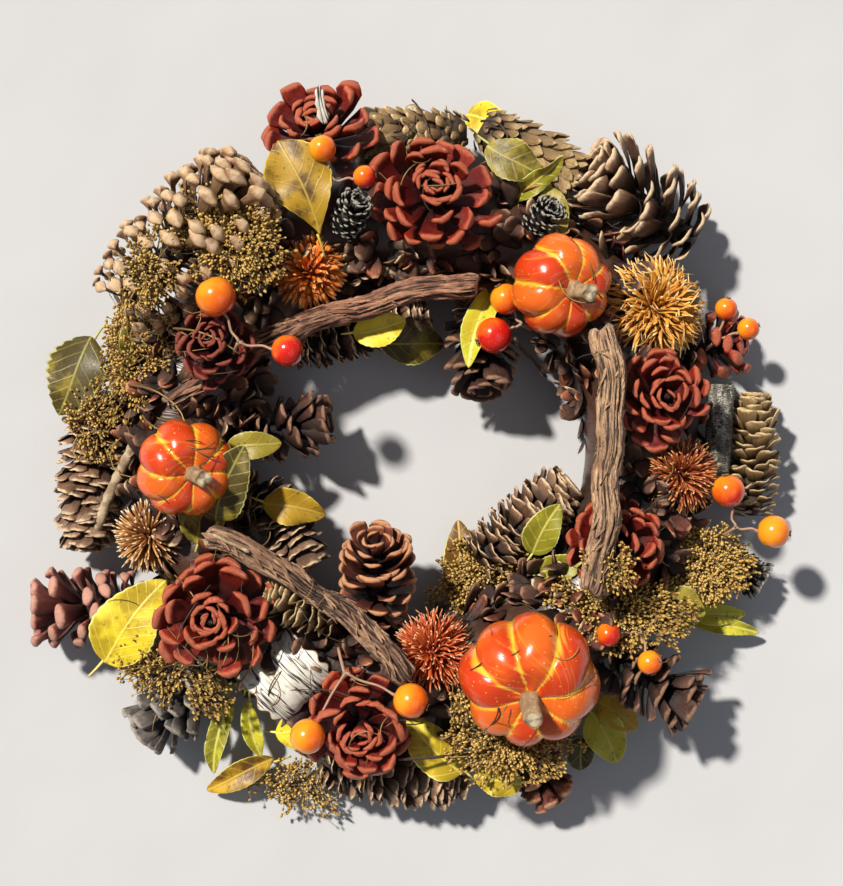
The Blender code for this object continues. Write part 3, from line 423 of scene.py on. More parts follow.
def birchMaterial(name, look):
    # White bark with dark cracks that run round it, and grey patches; the edge shows tan inner bark
    made, tree, shader, given = startMaterial(name)
    cracks = grainOn(tree, given["lay"], look["crackScale"], look["stretch"])
    patches = drift(tree, given, look["white"], look["grey"], 140.0, 1.0)
    fissure = minus(tree, 1.0, between(tree, cracks["Height"], look["crackFrom"], look["crackFrom"] + 0.2))
    colour = mixColour(tree, fissure, patches, look["crack"])
    edge = mixColour(tree, between(tree, given["rim"], 0.55, 0.95), colour, look["inner"])
    dusty = dustOn(tree, given, edge, (.30, .27, .23), 0.6, look["dust"])
    finishMaterial(tree, shader, dusty["Color"], dusty["Roughness"], cracks["Height"], 0.8, 0.5 * mm)
    return made


birchFinishes = {
    "birch_white": dict(white=(.84, .82, .74), grey=(.58, .56, .47), crack=(.035, .030, .026),
                        inner=(.36, .21, .11), crackScale=150.0, crackFrom=0.50, stretch=12.0, dust=0.10),
    "birch_grey": dict(white=(.40, .38, .31), grey=(.13, .125, .105), crack=(.022, .020, .018),
                       inner=(.42, .33, .22), crackScale=420.0, crackFrom=0.66, stretch=3.0, dust=0.30),
}


def tapeMaterial():
    # Smooth brown plastic tape: a darker line at each overlap, painted shade along the step where one turn
    # laps the last; faint stretch marks and dust
    look = dict(film=(.034, .015, .010), second=(.060, .026, .016), overlap=(.010, .005, .004))
    made, tree, shader, given = startMaterial("tape_film", **{"Coat Weight": 0.15, "Coat Roughness": 0.25})
    film = drift(tree, given, look["film"], look["second"], 45.0, 1.0)
    # painted shade: the line along each lap's step is darkened
    lapShaded = mixColour(tree, between(tree, given["rim"], 0.93, 1.0), film, look["overlap"])
    marks = grainOn(tree, given["lay"], 160.0, 6.0)
    dusty = dustOn(tree, given, lapShaded, (.22, .18, .15), 0.34, 0.12)
    finishMaterial(tree, shader, dusty["Color"], dusty["Roughness"], marks["Height"], 0.25, 0.4 * mm)
    return made


def strawMaterial():
    look = dict(stalk=(.36, .25, .105), second=(.55, .42, .20), gap=(.09, .055, .022))
    made, tree, shader, given = startMaterial("straw_bundle")
    grain = grainOn(tree, given["lay"], 650.0, 22.0)
    stalks = drift(tree, given, look["stalk"], look["second"], 90.0, 1.2, "lay")
    # the grooves between stalks are darkened to the gap colour: painted shade
    colour = mixColour(tree, between(tree, plus(tree, given["rim"], grain["Mask"]), 0.25, 0.9), look["gap"],
                       stalks)
    finishMaterial(tree, shader, colour, 0.72, grain["Height"], 0.9, 0.5 * mm)
    return made


def wireMaterial():
    look = dict(steel=(.50, .49, .47), second=(.30, .29, .28))
    made, tree, shader, given = startMaterial("steel_wire", Metallic=1.0)
    steel = placeGroup(tree, "colourDrift", {"Color": look["steel"], "Second": look["second"],
                                             "Vector": given["spot"], "Scale": 300.0, "Tone": 0.5,
                                             "Amount": 1.0})["Color"]
    drawn = grainOn(tree, given["spot"], 1500.0, 10.0)
    rough = plus(tree, times(tree, drawn["Mask"], 0.2), 0.25)
    finishMaterial(tree, shader, steel, rough, drawn["Height"], 0.15, 0.1 * mm)
    return made


def paperMaterial():
    # Plain pale paper with a faint cockle
    made, tree, shader, given = startMaterial("floor_paper")
    tint = mixColour(tree, noise(tree, given["spot"], 6.0), (.45, .455, .47), (.52, .525, .54))
    cockle = plus(tree, times(tree, noise(tree, given["spot"], 9.0, 2.0), 6.0),
                  times(tree, noise(tree, given["spot"], 600.0), 0.12))
    finishMaterial(tree, shader, tint, 0.85, cockle, 0.25, 2 * mm)
    return made


materials = {name: coneMaterial(name + "_scales", look) for name, look in coneFinishes.items()}
for make, finishes in ((fibreMaterial, fibreFinishes), (barkMaterial, barkFinishes),
                       (leafMaterial, leafFinishes), (birchMaterial, birchFinishes)):
    materials.update({name: make(name, look) for name, look in finishes.items()})
materials.update(pumpkin=pumpkinMaterial(), berry=berryMaterial(), tape=tapeMaterial(), straw=strawMaterial(),
                 wire=wireMaterial(), paper=paperMaterial())
print("materials made:", len(materials))


# Surfaces
def frameAxes(heading, tilt=0.0):
    # Rows: the piece's own +X (base to tip), its left and its upper side
    h, t = np.radians(heading), np.radians(tilt)
    along = np.array([np.cos(h) * np.cos(t), np.sin(h) * np.cos(t), np.sin(t)])
    left = np.array([-np.sin(h), np.cos(h), 0.0])
    return np.stack([along, left, np.cross(along, left)])


def measure(node, heading, tilt=0.0):
    # The node's corners told along, left of and above its own axis: their extents give its place and size
    corners = nodes[node].data.vertices
    points = np.empty(len(corners) * 3, np.float32)
    corners.foreach_get("co", points)
    axes = frameAxes(heading, tilt)
    local = points.reshape(-1, 3).astype(float) @ axes.T
    low, high = local.min(0), local.max(0)
    return {"axes": axes, "low": low, "high": high, "size": high - low, "middle": (low + high) / 2}


def toWorld(points, spot, origin=None):
    start = spot["middle"] if origin is None else origin
    return (points + start) @ spot["axes"]


def unit(vectors):
    return vectors / np.maximum(np.linalg.norm(vectors, axis=-1, keepdims=True), 1e-12)


def lattice(count, rings, sides):
    # Faces of `count` tubes of rings by sides points: quads along them and one face over each end
    tube = np.arange(count)[:, None, None] * rings * sides
    ring = np.arange(rings - 1)[None, :, None] * sides
    side = np.arange(sides)[None, None, :]
    after = (side + 1) % sides
    quads = np.stack([tube + ring + side, tube + ring + after, tube + ring + sides + after,
                      tube + ring + sides + side], -1).reshape(-1, 4)
    first = tube[:, 0] + np.arange(sides)[None, ::-1]
    last = tube[:, 0] + (rings - 1) * sides + np.arange(sides)[None, :]
    return [quads, first, last]


def outward(points, faces):
    # Turns all the faces over if they enclose a negative volume
    volume = 0.0
    for polygons in faces:
        corner = points[polygons]
        fan = np.cross(corner[:, 1:-1], corner[:, 2:])
        volume += np.einsum("fi,fni->", corner[:, 0], fan)
    return faces if volume > 0 else [p[:, ::-1] for p in faces]


def loft(middles, across, above, widths, depths, along, tone, rim=None, sides=8, lift=None, sharp=1.0,
         lengths=None, bluntness=0.0):
    # N tubes at once. Each section is middle + across * width * cos v + above * (depth * sin v + lift).
    # middles, across and above are (N, K, 3); widths, depths and along are (N, K) or can be spread to it
    count, rings = middles.shape[:2]
    turn = fullTurn(sides)
    widths = np.broadcast_to(widths, (count, rings))[..., None]
    depths = np.broadcast_to(depths, (count, rings))[..., None]
    away = widths * np.cos(turn)
    rise = depths * np.sign(np.sin(turn)) * np.abs(np.sin(turn)) ** sharp
    if lift is not None:
        rise = rise + lift(away, widths)
    points = middles[:, :, None] + across[:, :, None] * away[..., None] + above[:, :, None] * rise[..., None]
    along = np.broadcast_to(along, (count, rings))
    rim = np.clip((along - 0.8) / 0.2, 0, 1) if rim is None else rim
    edge = np.broadcast_to(rim, (count, rings))[..., None]
    edge = np.maximum(edge, bluntness * np.abs(np.cos(turn)) ** 5 * along[..., None])
    if lengths is None:
        steps = np.linalg.norm(np.diff(middles, axis=1), axis=-1)
        lengths = np.concatenate([np.zeros((count, 1)), np.cumsum(steps, axis=1)], axis=1)
    shape = (count, rings, sides)
    own = np.broadcast_to(np.asarray(tone, float).reshape(-1, 1, 1), shape)
    marks = np.stack([np.broadcast_to(along[..., None], shape), own, np.broadcast_to(edge, shape)], -1)
    lays = np.stack([np.broadcast_to(lengths[..., None], shape), away, own * 0.9], -1)
    return gridPart(points, lattice(count, rings, sides), marks, lays)


def gridPart(points, faces, marks, lays):
    # A part from a grid of points, with a mark and a lay at each
    return {"points": points.reshape(-1, 3), "faces": faces,
            "marks": marks.reshape(-1, 3), "lays": lays.reshape(-1, 3)}


def inWorld(spot, *parts):
    for part in parts:
        part["points"] = toWorld(part["points"], spot)
    return list(parts)


def fullTurn(sides):
    return np.arange(sides) / sides * 2 * np.pi


def shaft(stations, thick, sides):
    # A round core along the piece's own axis
    line = np.stack([stations, 0 * stations, 0 * stations], -1)[None]
    across = np.broadcast_to((0.0, 1.0, 0.0), line.shape)
    above = np.broadcast_to((0.0, 0.0, 1.0), line.shape)
    return loft(line, across, above, thick, thick, np.zeros((1, len(stations))), 0.5, 0.0, sides)


def pathFrames(paths, up=(0.0, 0.0, 1.0)):
    # Directions square to each path: one as level as it can be, one above
    tangents = unit(np.gradient(paths, axis=1))
    guide = np.broadcast_to(np.asarray(up, float), tangents.shape)
    guide = np.where(np.abs((tangents * guide).sum(-1, keepdims=True)) > 0.95, (0.9, 0.3, 0.1), guide)
    across = unit(np.cross(guide, tangents))
    return across, np.cross(tangents, across)


def stems(paths, radii, tone, sides=6, along=None, rim=0.0, flat=1.0):
    # Round or flattened stems along (N, K, 3) paths
    across, above = pathFrames(paths)
    share = np.linspace(0, 1, paths.shape[1])[None] if along is None else along
    return loft(paths, across, above, radii, np.asarray(radii) * flat, share, tone, rim, sides)


def addPiece(name, parts, material, replaces=(), body="wreath", crease=None):
    # One mesh from several parts, its faces outward, with its marks and its lay
    points, loops, sizes, offset = [], [], [], 0
    for part in parts:
        for polygons in outward(part["points"], part["faces"]):
            loops.append((polygons + offset).ravel())
            sizes.append(np.full(len(polygons), polygons.shape[1]))
        points.append(part["points"])
        offset += len(part["points"])
    points, loops, sizes = np.vstack(points), np.concatenate(loops), np.concatenate(sizes)
    # Nothing sinks below the flat the wreath lies on
    points[:, 2] = np.maximum(points[:, 2], 0)
    mesh = bpy.data.meshes.new(name)
    mesh.vertices.add(len(points))
    mesh.vertices.foreach_set("co", points.astype(np.float32).ravel())
    mesh.loops.add(len(loops))
    mesh.loops.foreach_set("vertex_index", loops.astype(np.int32))
    mesh.polygons.add(len(sizes))
    mesh.polygons.foreach_set("loop_start", (np.cumsum(sizes) - sizes).astype(np.int32))
    mesh.update(calc_edges=True)
    mesh.validate()
    for label in ("mark", "lay"):
        values = np.vstack([part[label + "s"] for part in parts]).astype(np.float32)
        mesh.attributes.new(label, "FLOAT_VECTOR", "POINT").data.foreach_set("vector", values.ravel())
    mesh.shade_smooth()
    if crease:
        mesh.set_sharp_from_angle(angle=np.radians(crease))
    mesh.materials.append(materials[material])
    piece = bpy.data.objects.new(name, mesh)
    bpy.context.scene.collection.objects.link(piece)
    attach(piece, body)
    if replaces:
        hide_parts(*replaces)
    return piece


def ripples(a, b, seed, waves=7, reach=1.0):
    # Smooth uneven waves over two whole arrays, between about -1 and 1
    rng = np.random.default_rng(seed)
    total = np.zeros(np.broadcast(a, b).shape)
    for f, g, phase in zip(rng.normal(0, reach, waves), rng.integers(1, 5, waves),
                           rng.uniform(0, 6.3, waves)):
        total = total + np.sin(a * f + b * g + phase)
    return total / np.sqrt(waves)


# Cones
# pitch is the spacing of the scales; opening is their angle from the axis at the base and at the tip;
# outline and body are half widths and half depths along a scale, as shares of the pitch
coneForms = {
    "knobbed": dict(pitch=8.9 * mm, first=.03, last=.90, opening=(104, 34), bend=-18, power=1.6, loose=4,
                    stations=(0, .3, .58, .76, .85, .90, .94, .975, 1),
                    outline=(.17, .20, .26, .34, .52, .60, .53, .22, .10),
                    body=(.06, .06, .07, .10, .28, .42, .37, .17, .08), cup=.05, core=.28,
                    reach=(.76, .97, 1.0, .86, .42), keel=1.9, sides=12),
    "spoon": dict(pitch=10.2 * mm, first=.04, last=.84, opening=(100, 36), bend=-34, power=2.0, loose=7,
                  stations=(0, .25, .5, .7, .84, .95, 1), outline=(.28, .40, .54, .64, .67, .62, .36),
                  body=(.05, .05, .05, .05, .07, .10, .06), cup=.36, core=.24,
                  reach=(.80, .98, 1.0, .85, .42), keel=1.0),
    "shaggy": dict(pitch=8.0 * mm, first=.04, last=.86, opening=(100, 36), bend=-26, power=1.8, loose=10,
                   stations=(0, .25, .5, .7, .86, .96, 1), outline=(.28, .38, .52, .62, .62, .54, .30),
                   body=(.06, .06, .06, .07, .11, .15, .09), cup=.30, core=.26,
                   reach=(.78, .98, 1.0, .85, .45), keel=1.1),
    "blunt": dict(pitch=9.0 * mm, first=.05, last=.88, opening=(98, 28), bend=-16, power=1.5, loose=9,
                  stations=(0, .25, .5, .72, .86, .95, 1), outline=(.24, .30, .40, .52, .58, .56, .38),
                  body=(.07, .08, .10, .16, .27, .32, .20), cup=.14, core=.26,
                  reach=(.78, 1.0, 1.0, .88, .50), keel=1.1),
    "layered": dict(pitch=5.9 * mm, first=.02, last=.93, opening=(86, 38), bend=-12, power=1.5, loose=8,
                    stations=(0, .3, .6, .8, .93, 1), outline=(.30, .58, .88, .96, .78, .30),
                    body=(.05, .05, .04, .035, .05, .03), cup=.40, core=.34,
                    reach=(.78, .98, 1.0, .88, .42), keel=1.0),
    "closed": dict(pitch=5.2 * mm, first=.0, last=.92, opening=(52, 24), bend=-22, power=1.4, loose=4,
                   stations=(0, .35, .62, .8, .92, 1), outline=(.34, .54, .68, .66, .42, .06),
                   body=(.08, .10, .11, .11, .09, .04), cup=.45, core=.60,
                   reach=(.80, .98, 1.0, .90, .46), keel=1.1),
    "seed": dict(pitch=2.9 * mm, first=.04, last=.95, opening=(84, 30), bend=-24, power=1.6, loose=12,
                 stations=(0, .4, .7, .9, 1), outline=(.26, .36, .50, .52, .30),
                 body=(.10, .11, .14, .20, .12), cup=.30, core=.60,
                 reach=(.82, 1.0, 1.0, .90, .55), keel=.9),
    "rosette": dict(count=46, petal=.215, first=.04, last=.70, opening=(100, 20), bend=-44, power=2.6,
                    loose=11, stations=(0, .2, .4, .58, .72, .84, .93, 1),
                    outline=(.34, .46, .60, .78, .95, 1.05, 1.02, .80),
                    body=(.10, .10, .10, .11, .14, .23, .31, .22), cup=.34, core=.20,
                    reach=(1.05, 1.04, .90, .62, .26), keel=.8, shrink=.30, unruly=1.8),
}

# node: heading and tilt as in the CAD, form, colour
cones = {
    "pine_cone_pale_large": (45, 6, "knobbed", "pale_cone"),
    "pine_cone_brown_large": (145, 12, "spoon", "brown_cone"),
    "pine_cone_grey": (-135, -4, "shaggy", "grey_cone"),
    "pine_cone_inner_bottom": (90, 35, "shaggy", "russet_cone"),
    "pine_cone_inner_top": (-90, 20, "shaggy", "dark_cone"),
    "pine_cone_inner_left": (10, 10, "shaggy", "dark_cone"),
    "pine_cone_low_right": (-30, 10, "shaggy", "dark_cone"),
    "pine_cone_low_outer": (-62, 0, "blunt", "russet_cone"),
    "spruce_cone_top": (180, 0, "closed", "straw_cone"),
    "spruce_cone_top_right": (-30, 0, "closed", "straw_cone"),
    "spruce_cone_left": (-95, 0, "layered", "brown_cone"),
    "spruce_cone_bottom": (-8, 0, "layered", "brown_cone"),
    "spruce_cone_right": (90, 0, "layered", "straw_cone"),
    "spruce_cone_inner_right": (40, 5, "layered", "brown_cone"),
    "spruce_cone_inner_top": (15, 5, "layered", "brown_cone"),
    "spruce_cone_inner_left": (-60, 5, "layered", "brown_cone"),
    "spruce_cone_low_left": (160, 10, "layered", "straw_cone"),
    "alder_cone_top": (60, 45, "seed", "black_cone"),
    "alder_cone_right": (-30, 10, "seed", "black_cone"),
    "red_cone_top_left": (110, 60, "rosette", "red_cone"),
    "red_cone_top": (80, 80, "rosette", "red_cone"),
    "red_cone_right_upper": (10, 30, "blunt", "red_cone"),
    "red_cone_right": (20, 80, "rosette", "red_cone"),
    "red_cone_right_lower": (200, 80, "rosette", "red_cone"),
    "red_cone_left_lower": (-120, 80, "rosette", "red_cone"),
    "red_cone_bottom": (-90, 75, "rosette", "red_cone"),
    "red_cone_dusty": (180, 12, "blunt", "dusty_cone"),
    # this red cone takes the darker copy of the red colours: painted shade
    "red_cone_left_upper": (120, 75, "rosette", "dark_red_cone"),
}


def coneScales(spot, form, seed):
    # Scales at golden turns up the axis. Each one's middle line leaves the core at the opening angle, turns
    # by bend * s^power on the way, and is as long as it takes to reach the cone's outline
    rng = np.random.default_rng(seed)
    length, radius = spot["size"][0], spot["size"][1:].mean() / 2
    pitch = form.get("pitch", form.get("petal", 0) * radius)
    if "pitch" in form:
        pitch = pitch * min(1.0, radius / (2.1 * pitch)) ** 0.5
    count = form.get("count") or int(2 * np.pi * radius * 0.8 * length / pitch**2)
    share = (np.arange(count) + 0.5) / count
    root = form["first"] + (form["last"] - form["first"]) * share
    turn = np.arange(count) * goldenTurn + rng.normal(0, 0.05, count)
    opening = np.interp(share, (0, 1), form["opening"]) + rng.normal(0, form["loose"], count)
    stations = np.array(form["stations"])
    unruly = form.get("unruly", 1.0)
    bend = form["bend"] * (1 + rng.normal(0, 0.25 * unruly**0.5, count))
    angle = np.radians(opening[:, None] + bend[:, None] * stations**form["power"])
    middle = (angle[:, 1:] + angle[:, :-1]) / 2
    onward = np.concatenate([np.zeros((count, 1)), np.cumsum(np.cos(middle) * np.diff(stations), 1)], 1)
    outwards = np.concatenate([np.zeros((count, 1)), np.cumsum(np.sin(middle) * np.diff(stations), 1)], 1)
    core = radius * form["core"] * (1 - 0.55 * share)
    envelope = np.interp(share, (0, .25, .5, .75, 1), form["reach"])
    envelope = envelope * (1 + rng.normal(0, 0.035 * unruly, count))
    start = (root - 0.5) * length
    span = (radius * envelope - core) / np.maximum(outwards[:, -1], 0.30)
    room = np.where(onward.max(1) > 0.02, (length / 2 - start) / np.maximum(onward.max(1), 0.02), np.inf)
    behind = np.where(onward.min(1) < -0.02, (length / 2 + start) / np.maximum(-onward.min(1), 0.02), np.inf)
    span = np.minimum(span, np.minimum(room, behind))[:, None]
    x, r = start[:, None] + span * onward, core[:, None] * 0.8 + span * outwards
    c, s, zero = np.cos(turn)[:, None], np.sin(turn)[:, None], np.zeros_like(x)
    middles = np.stack([x, r * c, r * s], -1)
    above = np.stack([np.sin(angle), -np.cos(angle) * c, -np.cos(angle) * s], -1)
    across = np.stack([zero, -s + zero, c + zero], -1)
    roll = rng.normal(0, 0.18 * unruly**0.8, count)[:, None, None] * (0.4 + 0.6 * stations)[None, :, None]
    across, above = across * np.cos(roll) + above * np.sin(roll), above * np.cos(roll) - across * np.sin(roll)
    small = form.get("shrink", 0.45)
    grown = pitch * (small + (1 - small) * np.clip(span / span.max() * 1.25, 0, 1))
    grown = grown * (1 + rng.normal(0, 0.06 * unruly, (count, 1)))
    widths = grown * np.array(form["outline"]) * (1 + rng.normal(0, 0.07, (count, len(stations))))
    depths = grown * np.array(form["body"])

    def cupped(away, half):
        wavy = 0.10 * unruly * np.sin(away / half * 4 + turn[:, None, None] * 9)
        return form["cup"] * half * ((away / half) ** 2 + wavy) * stations[None, :, None]

    scale = loft(middles, across, above, widths, depths, stations[None], rng.random(count), None,
                 form.get("sides", 10), cupped, form["keel"], bluntness=0.8)
    stand = np.linspace(-0.47, 0.44, 12)
    thick = radius * form["core"] * np.interp(stand, (-.47, -.42, .1, .44), (.5, 1.05, .75, .25))
    return inWorld(spot, scale, shaft(stand * length, thick, 12))


for seed, (node, (heading, tilt, form, colour)) in enumerate(cones.items()):
    spot = measure(node, heading, tilt)
    addPiece(node + "_scales", coneScales(spot, coneForms[form], 100 + seed), colour,
             replaces=[node])
print("cones made:", len(cones))


# Pumpkins: how many lobes, how deep the grooves, their twist, the dips at the poles, stalk radius and height
pumpkins = {
    "pumpkin_upper_right": dict(heading=-30, tilt=62, lobes=8, groove=.16, twist=.05, dip=.30,
                                stalk=(3.0, 9.0)),
    "pumpkin_left": dict(heading=-28, tilt=62, lobes=8, groove=.15, twist=-.08, dip=.28, stalk=(2.8, 9.0)),
    "pumpkin_lower_right": dict(heading=-95, tilt=64, lobes=8, groove=.17, twist=.06, dip=.30,
                                stalk=(3.4, 9.0)),
}


def pumpkinGlobe(spot, look, seed):
    # A flattened globe: radius cos(latitude)^0.8, pressed in along the lobes' seams, with a dip at each pole
    stalkLength = look["stalk"][1] * mm
    radius = spot["size"][1:].mean() / 2
    half = (spot["size"][0] - stalkLength) / (0.86 + 0.95)
    latitude = np.radians(np.linspace(-88, 88, 60))[:, None]
    sides = 144
    turn = fullTurn(sides)[None]
    wave = turn + look["twist"] * latitude + 0.05 * np.sin(2 * turn + seed)
    crest = np.abs(np.cos(look["lobes"] / 2 * wave)) ** 0.62
    depth = look["groove"] * (0.55 + 0.45 * np.cos(latitude))
    size = 1 + 0.025 * ripples(latitude * 2, turn, seed, 5)
    out = radius * np.cos(latitude) ** 0.78 * (1 - depth * (1 - crest)) * size
    poles = np.exp(-(np.cos(latitude) / 0.42) ** 2)
    x = half * np.sin(latitude) * (1 - look["dip"] * poles) + 0 * turn
    x = x + half * 0.05 * (crest - 0.5) * np.abs(np.sin(latitude))
    top = spot["high"][0] - stalkLength - 0.86 * half  # middle of the globe along the stalk
    points = np.stack([x, out * np.cos(turn), out * np.sin(turn)], -1)
    origin = np.array([top, spot["middle"][1], spot["middle"][2]])
    lobe = np.floor(look["lobes"] * (wave / (2 * np.pi) + 0.5 / look["lobes"]))
    tone = 0.5 + 0.35 * np.sin(lobe * 2.4 + seed) + 0 * latitude
    marks = np.stack([latitude / np.pi + 0.5 + 0 * turn, tone, 1 - crest + 0 * latitude], -1)
    lays = np.stack([latitude * radius + 0 * turn, out * (turn - np.pi), 0 * out], -1)
    globe = gridPart(toWorld(points.reshape(-1, 3), spot, origin), lattice(1, 60, sides), marks, lays)
    return globe, origin, half


def pumpkinStalk(spot, look, origin, half, seed):
    # Five-ridged woody stalk, flared where it joins, a little bent, with a rough cut end
    wide, tall = look["stalk"][0] * mm, look["stalk"][1] * mm
    rings, sides = 18, 30
    share = np.linspace(0, 1, rings)[:, None]
    turn = fullTurn(sides)[None]
    foot = half * 0.52
    x = foot + (half * 0.95 + tall - foot) * np.clip(share * 1.12, 0, 1)
    flare = 1 + 1.5 * np.exp(-share * 9)
    ridge = 1 + 0.22 * np.abs(np.cos(2.5 * turn + share * 0.8)) * (1 - 0.4 * share)
    closing = np.interp(share, (0, .88, .93, .97, 1), (1, 1.12, .8, .4, .04))
    out = wide * flare * ridge * closing * (1 + 0.05 * ripples(share * 9, turn, seed, 6))
    x = x - 0.0007 * np.sin(3 * turn + seed) * (share > 0.87) * closing
    bend = 1.6 * mm * share**2
    points = np.stack([x + 0 * turn, out * np.cos(turn) + bend, out * np.sin(turn)], -1)
    top = (share > 0.9) * 1.0
    marks = np.stack([0.3 + 0.7 * share + 0 * turn, 0.5 + 0 * out, top + 0 * out], -1)
    lays = np.stack([x + 0 * turn, out * turn, 0 * out], -1)
    return gridPart(toWorld(points.reshape(-1, 3), spot, origin), lattice(1, rings, sides), marks, lays)


for seed, (node, look) in enumerate(pumpkins.items()):
    spot = measure(node, look["heading"], look["tilt"])
    globe, origin, half = pumpkinGlobe(spot, look, seed)
    addPiece(node + "_skin", [globe], "pumpkin", replaces=[node])
    addPiece(node + "_stalk", [pumpkinStalk(spot, look, origin, half, seed)], "pumpkin_stalk",
             crease=50)
print("pumpkins made")


# Berries
# heading, the two radii and the fork in mm as in the CAD, and how red each berry is
berryPicks = {
    "berry_pick_top_left": (-34, 5.9, 5.0, 22, -9, .30, .75),
    "berry_pick_left": (-37, 8.5, 6.8, 38, -10, .45, .85),
    "berry_pick_inner_top": (-108, 6.8, 8.0, 17, 10, .45, 1.15),
    "berry_pick_right_upper": (-42, 5.0, 5.0, 13.5, -12, .62, .38),
    "berry_pick_right_lower": (-42, 7.2, 7.2, 27, -10, .62, .25),
    "berry_pick_low_right": (-34, 5.4, 5.4, 22, 9, .95, .30),
    "berry_pick_bottom": (19, 7.6, 7.6, 47, 20, .12, .48),
}


def berry(middle, radius, pole, tone, seed):
    # A ball whose rings run from the stem to the eye, a little narrower to the eye, dimpled at both
    rings, sides = 26, 36
    polar = np.linspace(0.03, np.pi - 0.03, rings)
    dimples = 0.10 * np.exp(-(polar / 0.22) ** 2), 0.08 * np.exp(-((np.pi - polar) / 0.2) ** 2)
    swell = 1 + 0.03 * np.cos(polar) - dimples[0] - dimples[1]
    along = unit(np.asarray(pole, float))
    across = unit(np.cross(along, (0.23, 0.11, 0.97)))
    above = np.cross(along, across)
    middles = middle + along * (radius * np.cos(polar) * swell)[:, None]
    wide = radius * np.sin(polar)
    part = loft(middles[None], np.broadcast_to(across, (1, rings, 3)), np.broadcast_to(above, (1, rings, 3)),
                wide[None], wide[None], (polar / np.pi)[None], tone, 0.0, sides)
    # every berry reddens towards the same lower-right side, away from the key light: painted shade
    blushAndShade = unit(np.array([0.75, -0.65, 0.1]) + 0.3 * np.sin(np.array([1.0, 2.0, 3.0]) * (seed + 1)))
    part["marks"][:, 2] = 0.5 + 0.5 * unit(part["points"] - middle) @ blushAndShade
    return part


def berryEye(middle, radius, pole, seed):
    # The dry star opposite the stem: seven small pointed sepals
    rng = np.random.default_rng(seed)
    along = -unit(np.asarray(pole, float))
    across = unit(np.cross(along, (0.23, 0.11, 0.97)))
    above = np.cross(along, across)
    turn = fullTurn(7) + rng.normal(0, 0.1, 7)
    way = across * np.cos(turn)[:, None] + above * np.sin(turn)[:, None]
    share = np.linspace(0, 1, 4)[None, :, None]
    paths = middle + along * radius * (0.94 + 0.10 * share) + way[:, None] * radius * (0.04 + 0.20 * share)
    return stems(paths, radius * 0.07 * np.array([1, .9, .6, .15])[None], rng.random(7), 5, flat=0.5,
                 along=np.full((1, 4), 0.02), rim=0.9)


def berryStem(start, fork, radius, seed):
    # A thin stalk from the fork into the berry, thickened where it meets it
    share = np.linspace(0, 1, 12)[:, None]
    sag = np.array([0.0, 0.0, -0.05]) * np.linalg.norm(fork - start)
    path = fork + (start - fork) * share + 4 * share * (1 - share) * sag
    path = path + 0.0004 * np.sin(share * 9 + seed)
    ends = 0.9 * np.exp(-((1 - share[:, 0]) / 0.06) ** 2), 0.5 * np.exp(-(share[:, 0] / 0.08) ** 2)
    thick = radius * (1 + ends[0] + ends[1])
    return stems(path[None], thick[None], 0.3 + 0.1 * seed, 8)


for seed, (node, (heading, first, second, spacing, fork, redA, redB)) in enumerate(berryPicks.items()):
    spot = measure(node, heading)
    first, second, spacing, fork = first * mm, second * mm, spacing * mm, fork * mm
    widest = max(first, second)
    sideways = spot["low"][1] + widest if fork > 0 else spot["high"][1] - widest
    origin = np.array([spot["middle"][0] - (second - first) / 2, sideways, spot["high"][2] - widest])
    a, b, f = (toWorld(np.array(p), spot, origin) for p in (
        (-spacing / 2, 0, 0), (spacing / 2, 0, 0), (0, fork, -0.25 * abs(fork))))
    balls = [berry(a, first, f - a, redA, seed), berry(b, second, f - b, redB, seed + 9)]
    addPiece(node + "_berries", balls, "berry", replaces=[node])
    down = np.stack([f + (f - (a + b) / 2) * 0.5 * s
                     - np.array([0, 0, 9 * mm * s**1.5]) for s in np.linspace(0, 1, 8)])
    stalks = [berryStem(a + unit(f - a) * first * 0.86, f, 0.55 * mm, 1),
              berryStem(b + unit(f - b) * second * 0.86, f, 0.55 * mm, 2),
              stems(down[None], np.full((1, 8), 0.7 * mm), 0.4, 8)]
    eyes = [berryEye(a, first, f - a, seed), berryEye(b, second, f - b, seed + 5)]
    addPiece(node + "_stems", stalks + eyes, "berry_stems")
print("berries made")


# Dried flowers
# count of florets, how far round the dome they go, half width and depth in mm, curl at the end, wiggle
flowers = {
    "dried_flower_top_left": dict(heading=120, tilt=80, finish="flower_orange", count=170, dome=104,
                                  wide=1.15, deep=.30, curl=-.10, wiggle=.4, droop=.34, reach=1.14),
    "dried_flower_right_upper": dict(heading=40, tilt=70, finish="flower_golden", count=340, dome=108,
                                     wide=.80, deep=.26, curl=.34, wiggle=1.9, droop=.55, reach=1.28),
    "dried_flower_right": dict(heading=0, tilt=75, finish="flower_russet", count=260, dome=102, wide=.62,
                               deep=.35, curl=.14, wiggle=.9, droop=.28, reach=1.18),
    "dried_flower_left": dict(heading=-160, tilt=70, finish="flower_brown", count=210, dome=102, wide=.68,
                              deep=.50, curl=0, wiggle=.25, droop=.12, reach=1.13),
    "dried_flower_bottom": dict(heading=90, tilt=75, finish="flower_red", count=330, dome=104, wide=.55,
                                deep=.40, curl=.16, wiggle=.7, droop=.25, reach=1.16),
}


